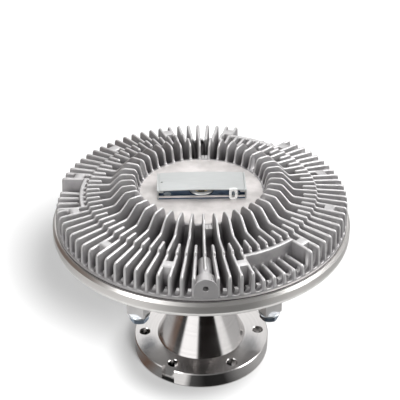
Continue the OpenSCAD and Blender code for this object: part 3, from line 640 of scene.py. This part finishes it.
# The gap blocks' tops and the lip's edge between the fins get the crest mark, a painted highlight.
BLOCK_LINE = ([114.7, 114.8, 118.2, 118.3], [0.0, 3.4, 3.4, 0.0])
EDGE_LINE = ([120.2, 120.4, 120.85, 121.0], [0.0, 0.5, 0.5, 0.0])
CLOSE = 0.01


def rows_in(first, last):
    """Which rows lie between two radii, the ends included."""
    return (ROWS > first - CLOSE) & (ROWS < last + CLOSE)


fin_index = np.arange(FINS)
from_pocket = np.min([np.abs(fin_index - p) for p in POCKETS], axis=0)
base = np.interp(ROWS, *floor_line)
top = np.empty((len(ROWS), FINS))
for i in fin_index:
    line = tops["long" if i % 2 == 0 else "short", "low" if from_pocket[i] < POCKET_HALF else "full"]
    last_r = FILLER_FIN_END if i == 0 else line[0][-1]
    top[:, i] = np.where(rows_in(line[0][0], last_r), np.maximum(np.interp(ROWS, *line), base), base)


def bridge(ground, line):
    """Raises the ground to a line where the line has points."""
    return np.where(rows_in(line[0][0], line[0][-1]), np.interp(ROWS, *line), ground)


def gap_floor(i):
    """Floor of the gap between fin i and fin i + 1 along the rows."""
    ground = base.copy()
    if any(p - POCKET_HALF <= i < p + POCKET_HALF for p in POCKETS):
        ground = bridge(ground, wall_line)
    if i % PAD_EVERY == PAD_AT:
        ground = bridge(ground, PAD_LINE)
    if i % SECTOR in INNER_PADS:
        ground = np.where(ROWS < INNER_PAD_R, np.maximum(ground, DISC_Z), ground)
    return ground


gaps = np.stack([gap_floor(i) for i in fin_index], axis=1)
print("rows:", len(ROWS), "tallest fin:", round(float((top - base[:, None]).max()), 1), "mm")

# %% [markdown]
# Across one fin the columns go from the middle of one gap over the crest to the middle of the next.
# The wall leans by the casting's draft, the root gets a fillet and the crest a round. Where the
# outline climbs steeply, the round grows upwards by the same share, so it stays round in truth.
# Where no fin stands, the columns keep the places that a low fin would give them, so none meet.
# Each point also notes how much it is crest, for wear and a painted highlight, and how deep it lies, for
# painted shade; a pocket's wall has one note.

# %% Weave the grid
FOOT_W, TIP_W, FOOT_Z, TIP_Z = 3.7, 1.9, 140.8, 177.3
ROOT_FILLET, ROOT_SHARE, ROUND_SHARE, MIDDLE_SHARE = 1.3, 0.35, 0.5, 0.9
MIN_SPACING_H, STANDS_H, STEEPEST = 12.0, 1, 3.5
ROUND_OUT, ROUND_DOWN = 0.707, 0.293
NOSE_ROUND, NOSE_SHARE, END_RUN, END_TAPER = 1.25, 0.3, 0.8, 0.25
CREST_OF, DEPTH_OF = (0, 0, 0, 0.25, 0.85), (1.0, 1.0, 0.8, 0.0, 0.0)
BRIDGE_CREST, WALL_CREST, BLOCK_HIGHLIGHT = 0.7, 0.05, 1.0
FIN_COLUMNS, SIDE_COLUMNS, FOOT_COLUMNS = 10, 5, 2
DEEP_LINE = ([52.6, 60.0, 112.0, 121.0], [0.0, 1.0, 1.0, 0.0])


def half_width(z):
    """Half a fin's thickness at a height, from the draft of the mould."""
    return 0.5 * (FOOT_W + (TIP_W - FOOT_W) * (z - FOOT_Z) / (TIP_Z - FOOT_Z))


def nose(distance):
    """Share of the thickness at a distance from a short fin's inner end."""
    t = np.clip(distance / NOSE_ROUND, 0, 1)
    return NOSE_SHARE + (1 - NOSE_SHARE) * np.sqrt(1 - (1 - t) ** 2)


points = []
slope = np.gradient(top, ROWS, axis=0)
rise = top - base[:, None]
deep = np.interp(ROWS, *DEEP_LINE)
block = np.interp(ROWS, *BLOCK_LINE, left=0, right=0)
lip_edge = np.interp(ROWS, *EDGE_LINE, left=0, right=0)
outer_taper = 1 - END_TAPER * np.clip((ROWS - FIN_END_R + END_RUN) / END_RUN, 0, 1) ** 2
for i in fin_index:
    ends = outer_taper * nose(ROWS - SHORT_R) if i % 2 else outer_taper
    t, h = top[:, i], rise[:, i]
    stands = h > STANDS_H
    spaced = base + np.maximum(h, MIN_SPACING_H)
    foot_half = half_width(base) * ends
    crest_half = half_width(np.maximum(t, spaced)) * ends
    arc = np.minimum(crest_half * np.minimum(np.hypot(1, slope[:, i]), STEEPEST), ROUND_SHARE * h)
    root = np.minimum(ROOT_FILLET, ROOT_SHARE * h)
    middle = ROWS * tan(FIN_PITCH / 2)
    side_u = [middle, np.minimum(foot_half + ROOT_FILLET, MIDDLE_SHARE * middle), foot_half, crest_half,
              ROUND_OUT * crest_half]
    side_z = [base, base, base + root, t - arc, t - ROUND_DOWN * arc]
    turn = i * FIN_PITCH
    for sign, gap in ((-1, np.maximum(gaps[:, i - 1], base + block)), (1, gaps[:, i])):
        if sign > 0:
            points.append((turn + 0 * ROWS, t, np.where(stands, 1.0, 0.0), np.where(stands, 0.0, deep)))
        for k in range(SIDE_COLUMNS) if sign < 0 else range(SIDE_COLUMNS - 1, 0, -1):
            bridged = gap > side_z[k] + CLOSE
            # The lip's edge gets half a crest mark, a painted highlight; the gap floors get the depth mark, a
            # painted shade.
            wear_and_highlight = np.maximum(np.where(stands, CREST_OF[k], 0.0), lip_edge * (k < FOOT_COLUMNS))
            wear_and_highlight = np.where(bridged, np.where(block > 0, BLOCK_HIGHLIGHT, BRIDGE_CREST), wear_and_highlight)
            painted_gap_shade = np.where(bridged, 0.0, np.where(stands, DEPTH_OF[k], 1.0) * deep)
            points.append((turn + np.arctan2(sign * side_u[k], ROWS), np.maximum(side_z[k], gap), wear_and_highlight, painted_gap_shade))
columns = len(points)
angle, height, crest, depth = (np.stack(values, axis=1) for values in zip(*points))
on_wall = rows_in(WALL_PART[0][0], WALL_PART[-1][0])
wall_wear = np.where(ROWS < WALL_PART[3][0], BRIDGE_CREST, WALL_CREST)[on_wall]
for p in POCKETS:
    first, last = ((p + end) * FIN_COLUMNS + SIDE_COLUMNS for end in (-POCKET_HALF, POCKET_HALF))
    crest[on_wall, first:last + 1] = wall_wear[:, None]
    depth[on_wall, first:last + 1] = 0.0
print("grid:", len(ROWS), "rows by", columns, "columns")

# %% [markdown]
# Rings close the grid: the disc inside the crowns with its bore for the pin's bush, the turned
# side below the lip with the dark groove where it meets the housing, and the hidden underside with
# the fluid reservoir.

# %% Close the cover and make its mesh
INNER_RINGS = [(6.0, DISC_Z - 10), (6.0, DISC_Z), (20.0, DISC_Z), (36.0, DISC_Z), (48.0, DISC_Z)]
OUTER_RINGS = [
    (COVER_R, 142.2), (COVER_R, 140.35), (120.4, 140.2), (120.4, 139.3), (COVER_R, 139.1), (COVER_R, 134.5),
    (109.05, 134.5), (109.05, 137.4), (54.0, 137.4), (54.0, 143.5), (46.5, 143.5), (46.5, 157.6),
    (12.5, 157.6), (11.0, 152.6)]
SIDE, GROOVE, SIDE_CREST = slice(0, 2), slice(2, 4), 0.75
BLOCK_COLUMNS = (0, 1, 9)


def with_rings(rows, part):
    """The grid's rows between the closing rings; part is 0 for radii and 1 for heights."""
    inner, outer = ([np.full(columns, ring[part]) for ring in rings] for rings in (INNER_RINGS, OUTER_RINGS))
    return np.stack(inner + list(rows) + outer)


radii, heights = with_rings(np.repeat(ROWS[:, None], columns, 1), 0), with_rings(height, 1)
angles = np.stack([angle[0]] * len(INNER_RINGS) + list(angle) + [angle[-1]] * len(OUTER_RINGS))
corners = np.stack([radii * np.sin(angles), -radii * np.cos(angles), heights], axis=-1) * MM


def ring_quads(rings, steps, closed):
    """Quads between rings of points; closed joins the last ring to the first."""
    pairs = [(k * steps, (k + 1) % rings * steps) for k in range(rings if closed else rings - 1)]
    return [(a + j, a + (j + 1) % steps, b + (j + 1) % steps, b + j) for a, b in pairs for j in range(steps)]


def put(name, mesh, body):
    """Links a piece; it rides on a body if one is named."""
    piece = show(name, mesh)
    if body:
        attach(piece, body)
    return piece


faces = np.array(ring_quads(len(radii), columns, True))[:, ::-1]
cover_mesh = new_mesh("fin_casting", corners.reshape(-1, 3).tolist(), faces.tolist(),
                      finishes["cast_aluminium"], finishes["blasted_disc"])
ring_of_face, column_of_face = np.divmod(np.arange(len(faces)), columns)
past_r = radii[ring_of_face, 0] + CLOSE
near_block = (past_r > BLOCK_LINE[0][0]) & (past_r < BLOCK_LINE[0][-1])
near_block &= ring_of_face < len(INNER_RINGS) + len(ROWS)
near_block &= np.isin(column_of_face % FIN_COLUMNS, BLOCK_COLUMNS)
cover_mesh.polygons.foreach_set("use_smooth", ~near_block)
for label, mark, rows, value in (("crest", crest, SIDE, SIDE_CREST), ("depth", depth, GROOVE, 1.0)):
    mark = np.pad(mark, ((len(INNER_RINGS), len(OUTER_RINGS)), (0, 0))).astype(np.float32)
    mark[-len(OUTER_RINGS):][rows] = value
    cover_mesh.attributes.new(label, "FLOAT", "POINT").data.foreach_set("value", mark.ravel())
disc_rows = len(INNER_RINGS) + 1
cover_mesh.polygons.foreach_set("material_index", (ring_of_face < disc_rows).astype(np.int32))
cover_mesh.update()
cover = put("fin_casting", cover_mesh, "housing")
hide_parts("finned_cover")
print("cover:", len(corners.reshape(-1, 3)), "points,", len(faces), "quads")

# %% [markdown]
# ## Sheet pieces
# The bracket, the strip and the clip are pressed from sheet. A press stamps a flat blank and folds
# it, and so does the helper here: it fills an outline with its holes, cuts it where it will bend,
# gives it its thickness, and moves every point to its place.

# %% Helpers for stamped pieces
SHARP_FROM, SEAM = radians(40), 1e-6


def arc_points(x, y, r, start, end, steps):
    """Points on a round from one angle to another, in degrees."""
    return [(x + r * cos(a), y + r * sin(a)) for a in np.radians(np.linspace(start, end, steps + 1))]


def rounded_box(x0, y0, x1, y1, r, steps=5):
    """Outline of a rectangle with round corners."""
    turns = ((x1 - r, y0 + r, -90), (x1 - r, y1 - r, 0), (x0 + r, y1 - r, 90), (x0 + r, y0 + r, 180))
    return [spot for x, y, a in turns for spot in arc_points(x, y, r, a, a + 90, steps)]


def circle(x, y, r, steps=32):
    """Outline of a round hole."""
    return arc_points(x, y, r, 0, 360, steps)[:-1]


def stamped(name, outline, holes, thickness, place, edge, finish,
            body="housing", cuts=()):
    """A sheet piece: its flat blank in mm, cut across at each (axis, value), and moved by place."""
    bm = bmesh.new()
    edges = []
    for loop in (outline, *holes):
        corners = [bm.verts.new((x, y, 0)) for x, y in loop]
        edges += [bm.edges.new(pair) for pair in zip(corners, corners[1:] + corners[:1])]
    bmesh.ops.triangle_fill(bm, use_beauty=True, use_dissolve=False, edges=edges)
    for axis, value in cuts:
        normal = [1.0 if axis == k else 0.0 for k in range(3)]
        everything = bm.verts[:] + bm.edges[:] + bm.faces[:]
        bmesh.ops.bisect_plane(bm, geom=everything, plane_co=[value * n for n in normal], plane_no=normal)
    raised = bmesh.ops.extrude_face_region(bm, geom=bm.faces[:])["geom"]
    lifted = [v for v in raised if isinstance(v, bmesh.types.BMVert)]
    bmesh.ops.translate(bm, verts=lifted, vec=(0, 0, thickness))
    bmesh.ops.recalc_face_normals(bm, faces=bm.faces[:])
    for v in bm.verts:
        v.co = Vector(place(*v.co)) * MM
    bmesh.ops.recalc_face_normals(bm, faces=bm.faces[:])
    for face in bm.faces:
        face.smooth = True
    softened = bm.edges.layers.float.new("bevel_weight_edge")
    for side in bm.edges:
        in_seam = all(abs(v.co.x) < SEAM for v in side.verts)
        sharp = side.calc_face_angle(0.0) > SHARP_FROM
        side[softened] = 1.0 if sharp and not in_seam else 0.0
        side.smooth = not (sharp and in_seam)
    mesh = new_mesh(name, [], [], finishes[finish])
    bm.to_mesh(mesh)
    bm.free()
    piece = put(name, mesh, body)
    soft = piece.modifiers.new("edge", "BEVEL")
    soft.width = edge * MM
    soft.segments = 2
    soft.limit_method = "WEIGHT"
    soft.harden_normals = True
    return piece


print("stamping helpers ready")

# %% [markdown]
# The bimetal strip is two metals rolled together. Heat bows it, and the control pin under it
# follows. It is a pale plate with round corners, a peg hole at its left end and a slight bow. It is
# made in two halves that meet over the pin, each bowed from its ledge up to the pin.

# %% Bimetal strip
STRIP_L, STRIP_W, STRIP_T, STRIP_TOP, STRIP_RISE = 69.0, 29.6, 0.8, 171.6, 0.9
STRIP_FRONT, STRIP_CORNER, STRIP_EDGE = -13.5, 1.4, 0.18
PEG_IN, PEG_R, BOW_CUTS = 1.9, 0.8, range(3, 34, 3)
HALF_L, HALF_W = STRIP_L / 2, STRIP_W / 2


def bowed(x, y, z):
    """The strip's bow: highest in the middle."""
    drop = STRIP_RISE * (2 * x / STRIP_L) ** 2
    return x, y, STRIP_TOP - STRIP_T + z - drop


whole = rounded_box(-HALF_L, STRIP_FRONT, HALF_L, HALF_W, STRIP_CORNER)
seam = [(0, HALF_W), (0, STRIP_FRONT)]
for label, side, holes in (("left", -1, [circle(PEG_IN - HALF_L, 0, PEG_R, 20)]), ("right", 1, [])):
    half = [spot for spot in whole if side * spot[0] > 0] + seam[::side]
    strip = stamped("bimetal_plate_" + label, half, holes, STRIP_T, bowed, STRIP_EDGE, "bimetal",
                    None, [(0, side * x) for x in BOW_CUTS])
    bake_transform(strip)
    if side < 0:
        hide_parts("bimetal_strip")
    print("strip,", label, "half:", len(strip.data.polygons), "faces")

# %% [markdown]
# The bracket is a tray: a base on the disc, two upright ends and a ledge in each on which the
# strip rests. Its base is blued and mirrors the strip's shaded underside, so the slot between the
# two reads as a dark glossy band. A raised ring around the pin's hole catches the light in it, and
# so does a narrow pale lip along the front.

# %% Strip bracket
BASE_T, WALL_X, WALL_TOP = 1.2, 35.2, 171.2
LEDGE_Z, LEDGE_L, LEDGE_LAP = 169.8, 4.0, 0.3
PIN_HOLE_R, RING_R, RING_H, RING_SUNK = 6.5, 10.5, 1.4, 0.1
LIP_OUT, LIP_UP, LIP_H, WALL_UP = 0.6, 1.7, 1.3, 0.2


def lying(z0):
    """Leaves a blank flat, at height z0."""
    return lambda x, y, z: (x, y, z0 + z)


base_blank = rounded_box(-WALL_X - BASE_T, STRIP_FRONT, WALL_X + BASE_T, HALF_W, 0.6)
wall_blank = rounded_box(STRIP_FRONT - LIP_OUT, DISC_Z + WALL_UP, HALF_W, WALL_TOP, 1.0)
lip_blank = rounded_box(-WALL_X, STRIP_FRONT - LIP_OUT, WALL_X, STRIP_FRONT + LIP_OUT, 0.3)
base_plate = stamped("bracket_base", base_blank, [circle(0, 0, PIN_HOLE_R)], BASE_T, lying(DISC_Z), 0.2,
                     "blued_steel")
for side, label in ((-1, "left"), (1, "right")):
    stamped("bracket_end_" + label, wall_blank, [], BASE_T,
            lambda x, y, z, s=side: (s * (WALL_X + z), x, y), 0.25, "bimetal")
    near_x, far_x = sorted((side * (WALL_X + LEDGE_LAP), side * (WALL_X - LEDGE_L)))
    stamped("bracket_ledge_" + label, rounded_box(near_x, STRIP_FRONT, far_x, HALF_W, 0.3), [], BASE_T,
            lying(LEDGE_Z - BASE_T), 0.2, "bimetal")
stamped("bracket_boss", circle(0, 0, RING_R, 64), [circle(0, 0, PIN_HOLE_R, 40)], RING_H,
        lying(DISC_Z + BASE_T - RING_SUNK), 0.9, "sheet_steel")
stamped("bracket_lip", lip_blank, [], LIP_H, lying(DISC_Z + LIP_UP), 0.3, "blasted_disc")
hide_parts("strip_bracket")
print("bracket: seven pieces")

# %% [markdown]
# A spring clip hooks over the strip's front edge and keeps it in the tray. It is a narrow loop of
# bright sheet with a slot in it, folded over at the top.

# %% Strip clip
CLIP_X, CLIP_W, CLIP_T, HOOK_L, CLIP_CORNER = 25.5, 6.8, 1.0, 1.5, 2.6
SLOT_HALF, SLOT_LOW, SLOT_TOP, SLOT_CORNER = 1.3, 2.0, 0.9, 1.2
FOLD_R, CLIP_GAP, CLIP_UP = 1.0, 0.1, 0.2
FOLD_Z = STRIP_TOP + CLIP_GAP + CLIP_T - FOLD_R
FOLD_END = FOLD_Z + FOLD_R * pi / 2


def hooked(x, y, z):
    """Folds the clip's blank: upright in front of the strip, then over its edge."""
    front = -HALF_W - CLIP_T
    if y <= FOLD_Z:
        return CLIP_X + x, front + z, y
    turn = min((y - FOLD_Z) / FOLD_R, pi / 2)
    reach = FOLD_R - z
    run = max(y - FOLD_END, 0)
    return (CLIP_X + x, front + FOLD_R - reach * cos(turn) + run, FOLD_Z + reach * sin(turn))


clip_blank = rounded_box(-CLIP_W / 2, DISC_Z + CLIP_UP, CLIP_W / 2, FOLD_END + HOOK_L, CLIP_CORNER)
clip_slot = rounded_box(-SLOT_HALF, DISC_Z + SLOT_LOW, SLOT_HALF, FOLD_Z - SLOT_TOP, SLOT_CORNER)
clip = stamped("strip_hook", clip_blank, [clip_slot], CLIP_T, hooked, 0.2, "sheet_steel",
               cuts=[(1, y) for y in np.linspace(FOLD_Z, FOLD_END, 5)])
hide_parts("strip_clip")
print("clip:", len(clip.data.polygons), "faces")

# %% [markdown]
# ## Filler boss
# The clutch is filled with silicone fluid through a small hole at the rim. Around it the casting
# has a flat arched pad, flush with the lip, and a narrower ridge runs in from it over the fins to
# the step. Both are stamped outlines too, stood upright and thick.

# %% Filler boss
BOSS_R, BOSS_Z, BOSS_FACE, BOSS_DEPTH, FILL_R, FILL_UP = 9.2, 150.5, 120.8, 9.0, 2.2, 0.6
RIDGE_R, RIDGE_Z, RIDGE_IN, RIDGE_LAP, ARCH_FOOT = 5.2, 154.5, 91.5, 0.5, 1.0
BOSS_CREST, RIDGE_CREST = 0.6, 0.8


def arch(half, centre_z):
    """Outline of a pad with a round top."""
    foot_z = LIP_Z - ARCH_FOOT
    return [(half, foot_z)] + arc_points(0, centre_z, half, 0, 180, 24) + [(-half, foot_z)]


def standing(face):
    """Stands an outline up at the front, with its face at that radius."""
    return lambda x, y, z: (x, -face + z, y)


fill_hole = circle(0, BOSS_Z + FILL_UP, FILL_R, 28)
boss = stamped("filler_pad", arch(BOSS_R, BOSS_Z), [fill_hole], BOSS_DEPTH, standing(BOSS_FACE), 0.5,
               "cast_aluminium")
ridge_face = BOSS_FACE - BOSS_DEPTH + RIDGE_LAP
ridge = stamped("filler_ridge", arch(RIDGE_R, RIDGE_Z), [], ridge_face - RIDGE_IN, standing(ridge_face), 0.6,
                "cast_aluminium")
# The pad and the ridge get a crest mark, which paints them lighter: partly wear and partly a painted
# highlight.
for piece, wear_and_highlight in ((boss, BOSS_CREST), (ridge, RIDGE_CREST)):
    mark = piece.data.attributes.new("crest", "FLOAT", "POINT")
    mark.data.foreach_set("value", np.full(len(piece.data.vertices), wear_and_highlight, np.float32))
print("filler pad and ridge:", len(boss.data.polygons) + len(ridge.data.polygons), "faces")

# %% [markdown]
# ## Fan bolts and washers
# Six M8 bolts clamp the fan to the lugs from below. A hexagon head is a hexagon cut by a shallow
# cone, which leaves an arc on each flat. The cone's height over the hexagon gives those arcs.

# %% Fan bolts and washers
LUG_FACE_Z, BOLT_CIRCLE_R = 105.2, 102.0
WASHER_R, WASHER_BORE, WASHER_T, WASHER_EDGE, BURR = 8.5, 4.0, 1.6, 0.35, 0.2
HEAD_AF, HEAD_H, HEAD_STEPS, CHAMFER_R, CHAMFER_TILT = 13.0, 5.3, 48, 6.1, radians(30)
SHANK_R, SHANK_TOP, SHANK_EDGE, CENTRE_R = 3.95, 121.2, 1, 0.02
FACE_IN, FACE_UP = 0.4, 0.05
SIX = [radians(30 + 60 * k) for k in range(6)]


def turned_rings(profiles, closed):
    """Points and quads of a turned body; each ring is (radius per step, height per step)."""
    steps = len(profiles[0][0])
    turn = np.arange(steps) * 2 * pi / steps
    spots = np.concatenate([np.stack([r * np.cos(turn), r * np.sin(turn), z], axis=-1) for r, z in profiles])
    return spots, ring_quads(len(profiles), steps, closed)


def round_rings(*pairs, steps=HEAD_STEPS):
    """Round rings from pairs of radius and height."""
    return [(np.full(steps, r), np.full(steps, z)) for r, z in pairs]


def six_around(name, profiles, closed, finish):
    """Six copies of a turned body on the bolt circle, as one piece."""
    spots, quads = turned_rings(profiles, closed)
    all_spots, all_quads = [], []
    for k, a in enumerate(SIX):
        all_quads += [tuple(v + len(spots) * k for v in quad) for quad in quads]
        spin = np.array([[cos(a), -sin(a), 0], [sin(a), cos(a), 0], [0, 0, 1]])
        all_spots.append(spots @ spin.T + np.array([*polar(BOLT_CIRCLE_R, a), 0]))
    mesh = new_mesh(name, (np.concatenate(all_spots) * MM).tolist(), all_quads, finishes[finish])
    bm = bmesh.new()
    bm.from_mesh(mesh)
    bmesh.ops.recalc_face_normals(bm, faces=bm.faces[:])
    bm.to_mesh(mesh)
    bm.free()
    return put(name, mesh, "housing")


low, high = LUG_FACE_Z - WASHER_T, LUG_FACE_Z
head_z = low - HEAD_H
steps = np.arange(HEAD_STEPS) * 2 * pi / HEAD_STEPS
hexagon = HEAD_AF / 2 / np.cos((steps + pi / 6) % (pi / 3) - pi / 6)
arcs = head_z + (hexagon - CHAMFER_R) * tan(CHAMFER_TILT)
head = round_rings((CENTRE_R, head_z), (CHAMFER_R - FACE_IN, head_z), (CHAMFER_R, head_z + FACE_UP))
flats = [(hexagon, arcs), (hexagon, np.full(HEAD_STEPS, head_z + HEAD_H))]
shank = round_rings((SHANK_R, head_z + HEAD_H), (SHANK_R, SHANK_TOP - SHANK_EDGE),
                    (SHANK_R - SHANK_EDGE, SHANK_TOP), (CENTRE_R, SHANK_TOP))
bolts = six_around("fan_bolt_set", head + flats + shank, False, "dark_zinc")
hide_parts("fan_bolts")
washer = round_rings(
    (WASHER_BORE, low + BURR), (WASHER_BORE + BURR, low), (WASHER_R - WASHER_EDGE, low),
    (WASHER_R, low + WASHER_EDGE), (WASHER_R, high - BURR), (WASHER_R - BURR, high),
    (WASHER_BORE + BURR, high), (WASHER_BORE, high - BURR))
washers = six_around("fan_washer_set", washer, True, "zinc_steel")
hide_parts("fan_washers")
print("bolts and washers:", len(bolts.data.polygons) + len(washers.data.polygons), "faces")

# %% [markdown]
# ## Rim edge
# The rim's lower edge is rolled over by the cut and catches the light as a bright line. It is a thin
# ring that sits against the band of the rim.

# %% Rim edge
EDGE_PROFILE = [(119.5, 129.4), (123.9, 131.0), (124.0, 130.6), (123.95, 129.4), (123.7, 128.5),
                (123.2, 127.9), (122.4, 127.7)]
EDGE_STEPS = 256

spots, quads = turned_rings(round_rings(*EDGE_PROFILE, steps=EDGE_STEPS), True)
edge_mesh = new_mesh("rim_edge", (spots * MM).tolist(), quads, finishes["rolled_edge"])
edge_mesh.polygons.foreach_set("use_smooth", np.ones(len(quads), bool))
put("rim_edge", edge_mesh, "housing")
print("rim edge:", len(quads), "faces")

# %% [markdown]
# ## Hub flange
# The flange at the hub's foot is bolted to the shaft that drives it. Its edge and its six holes are
# chamfered, a square notch is milled into its edge, and a recess below centres it. Loops of points
# around the outline and the holes are joined to walls, and the flat faces are filled between them.

# %% Hub flange
FLANGE_R, FLANGE_T, FLANGE_EDGE = 60.0, 14.5, 0.8
FLANGE_HOLE_CIRCLE, FLANGE_HOLE_R, HOLE_EDGE = 50.75, 4.5, 0.5
PILOT_R, PILOT_DEPTH = 37.5, 3.5
CUT_AT, CUT_HALF, CUT_DEPTH = radians(-30.3), 6.1, 3.4
FLANGE_SHARP, FLANGE_STEPS = radians(25), 301

reach = asin(CUT_HALF / FLANGE_R)
mouth, bottom = FLANGE_R * cos(reach), FLANGE_R - CUT_DEPTH
cut_floor = [(bottom, u) for u in np.linspace(-CUT_HALF, CUT_HALF, 7)]
cut_line = [(mouth, -CUT_HALF)] + cut_floor + [(mouth, CUT_HALF)]
open_by = degrees(reach)
round_line = arc_points(0, 0, FLANGE_R, open_by, 360 - open_by, FLANGE_STEPS)[1:-1]
flange_line = [(v * sin(CUT_AT) + u * cos(CUT_AT), u * sin(CUT_AT) - v * cos(CUT_AT))
               for v, u in cut_line + round_line]


def wall(bm, loops):
    """Joins loops (points, z) of equal count; returns the edges of the first and the last loop."""
    rings = [[bm.verts.new((x * MM, y * MM, z * MM)) for x, y in line] for line, z in loops]
    for lower, upper in zip(rings, rings[1:]):
        for k in range(len(lower)):
            bm.faces.new((lower[k - 1], lower[k], upper[k], upper[k - 1])).smooth = True
    ends = rings[0], rings[-1]
    return [[bm.edges.get((ring[k - 1], ring[k])) for k in range(len(ring))] for ring in ends]


bm = bmesh.new()
inset = 1 - FLANGE_EDGE / FLANGE_R
on_floor = range(1, len(cut_line) - 1)
inset_line = [(x, y) if k in on_floor else (x * inset, y * inset) for k, (x, y) in enumerate(flange_line)]
below, above = wall(bm, [(inset_line, 0), (flange_line, FLANGE_EDGE), (flange_line, FLANGE_T - FLANGE_EDGE),
                         (inset_line, FLANGE_T)])
for a in SIX:
    spot = polar(FLANGE_HOLE_CIRCLE, a)
    wide, bore = circle(*spot, FLANGE_HOLE_R + HOLE_EDGE), circle(*spot, FLANGE_HOLE_R)
    foot, head = wall(bm, [(wide, 0), (bore, HOLE_EDGE), (bore, FLANGE_T - HOLE_EDGE), (wide, FLANGE_T)])
    below, above = below + foot, above + head
recess = circle(0, 0, PILOT_R, 96)
foot, ceiling_edges = wall(bm, [(recess, 0), (recess, PILOT_DEPTH)])
for edges in (below + foot, above, ceiling_edges):
    bmesh.ops.triangle_fill(bm, use_beauty=True, use_dissolve=False, edges=edges)
bmesh.ops.recalc_face_normals(bm, faces=bm.faces[:])
flange_mesh = new_mesh("hub_flange", [], [], finishes["turned_steel"])
bm.to_mesh(flange_mesh)
bm.free()
flange_mesh.set_sharp_from_angle(angle=FLANGE_SHARP)
flange = put("hub_flange", flange_mesh, "hub")
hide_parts("drive_flange")
print("flange:", len(flange_mesh.polygons), "faces")

# %% [markdown]
# ## Size
# The difference between the dressed model's box and the CAD model's box, in mm.

# %% Print the sizes and finish
dressed_box = [list(corner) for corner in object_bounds()]
growth = [[round((b - a) / MM, 2) for a, b in zip(c, v)] for c, v in zip(cad_box, dressed_box)]
print("growth in mm:", growth)
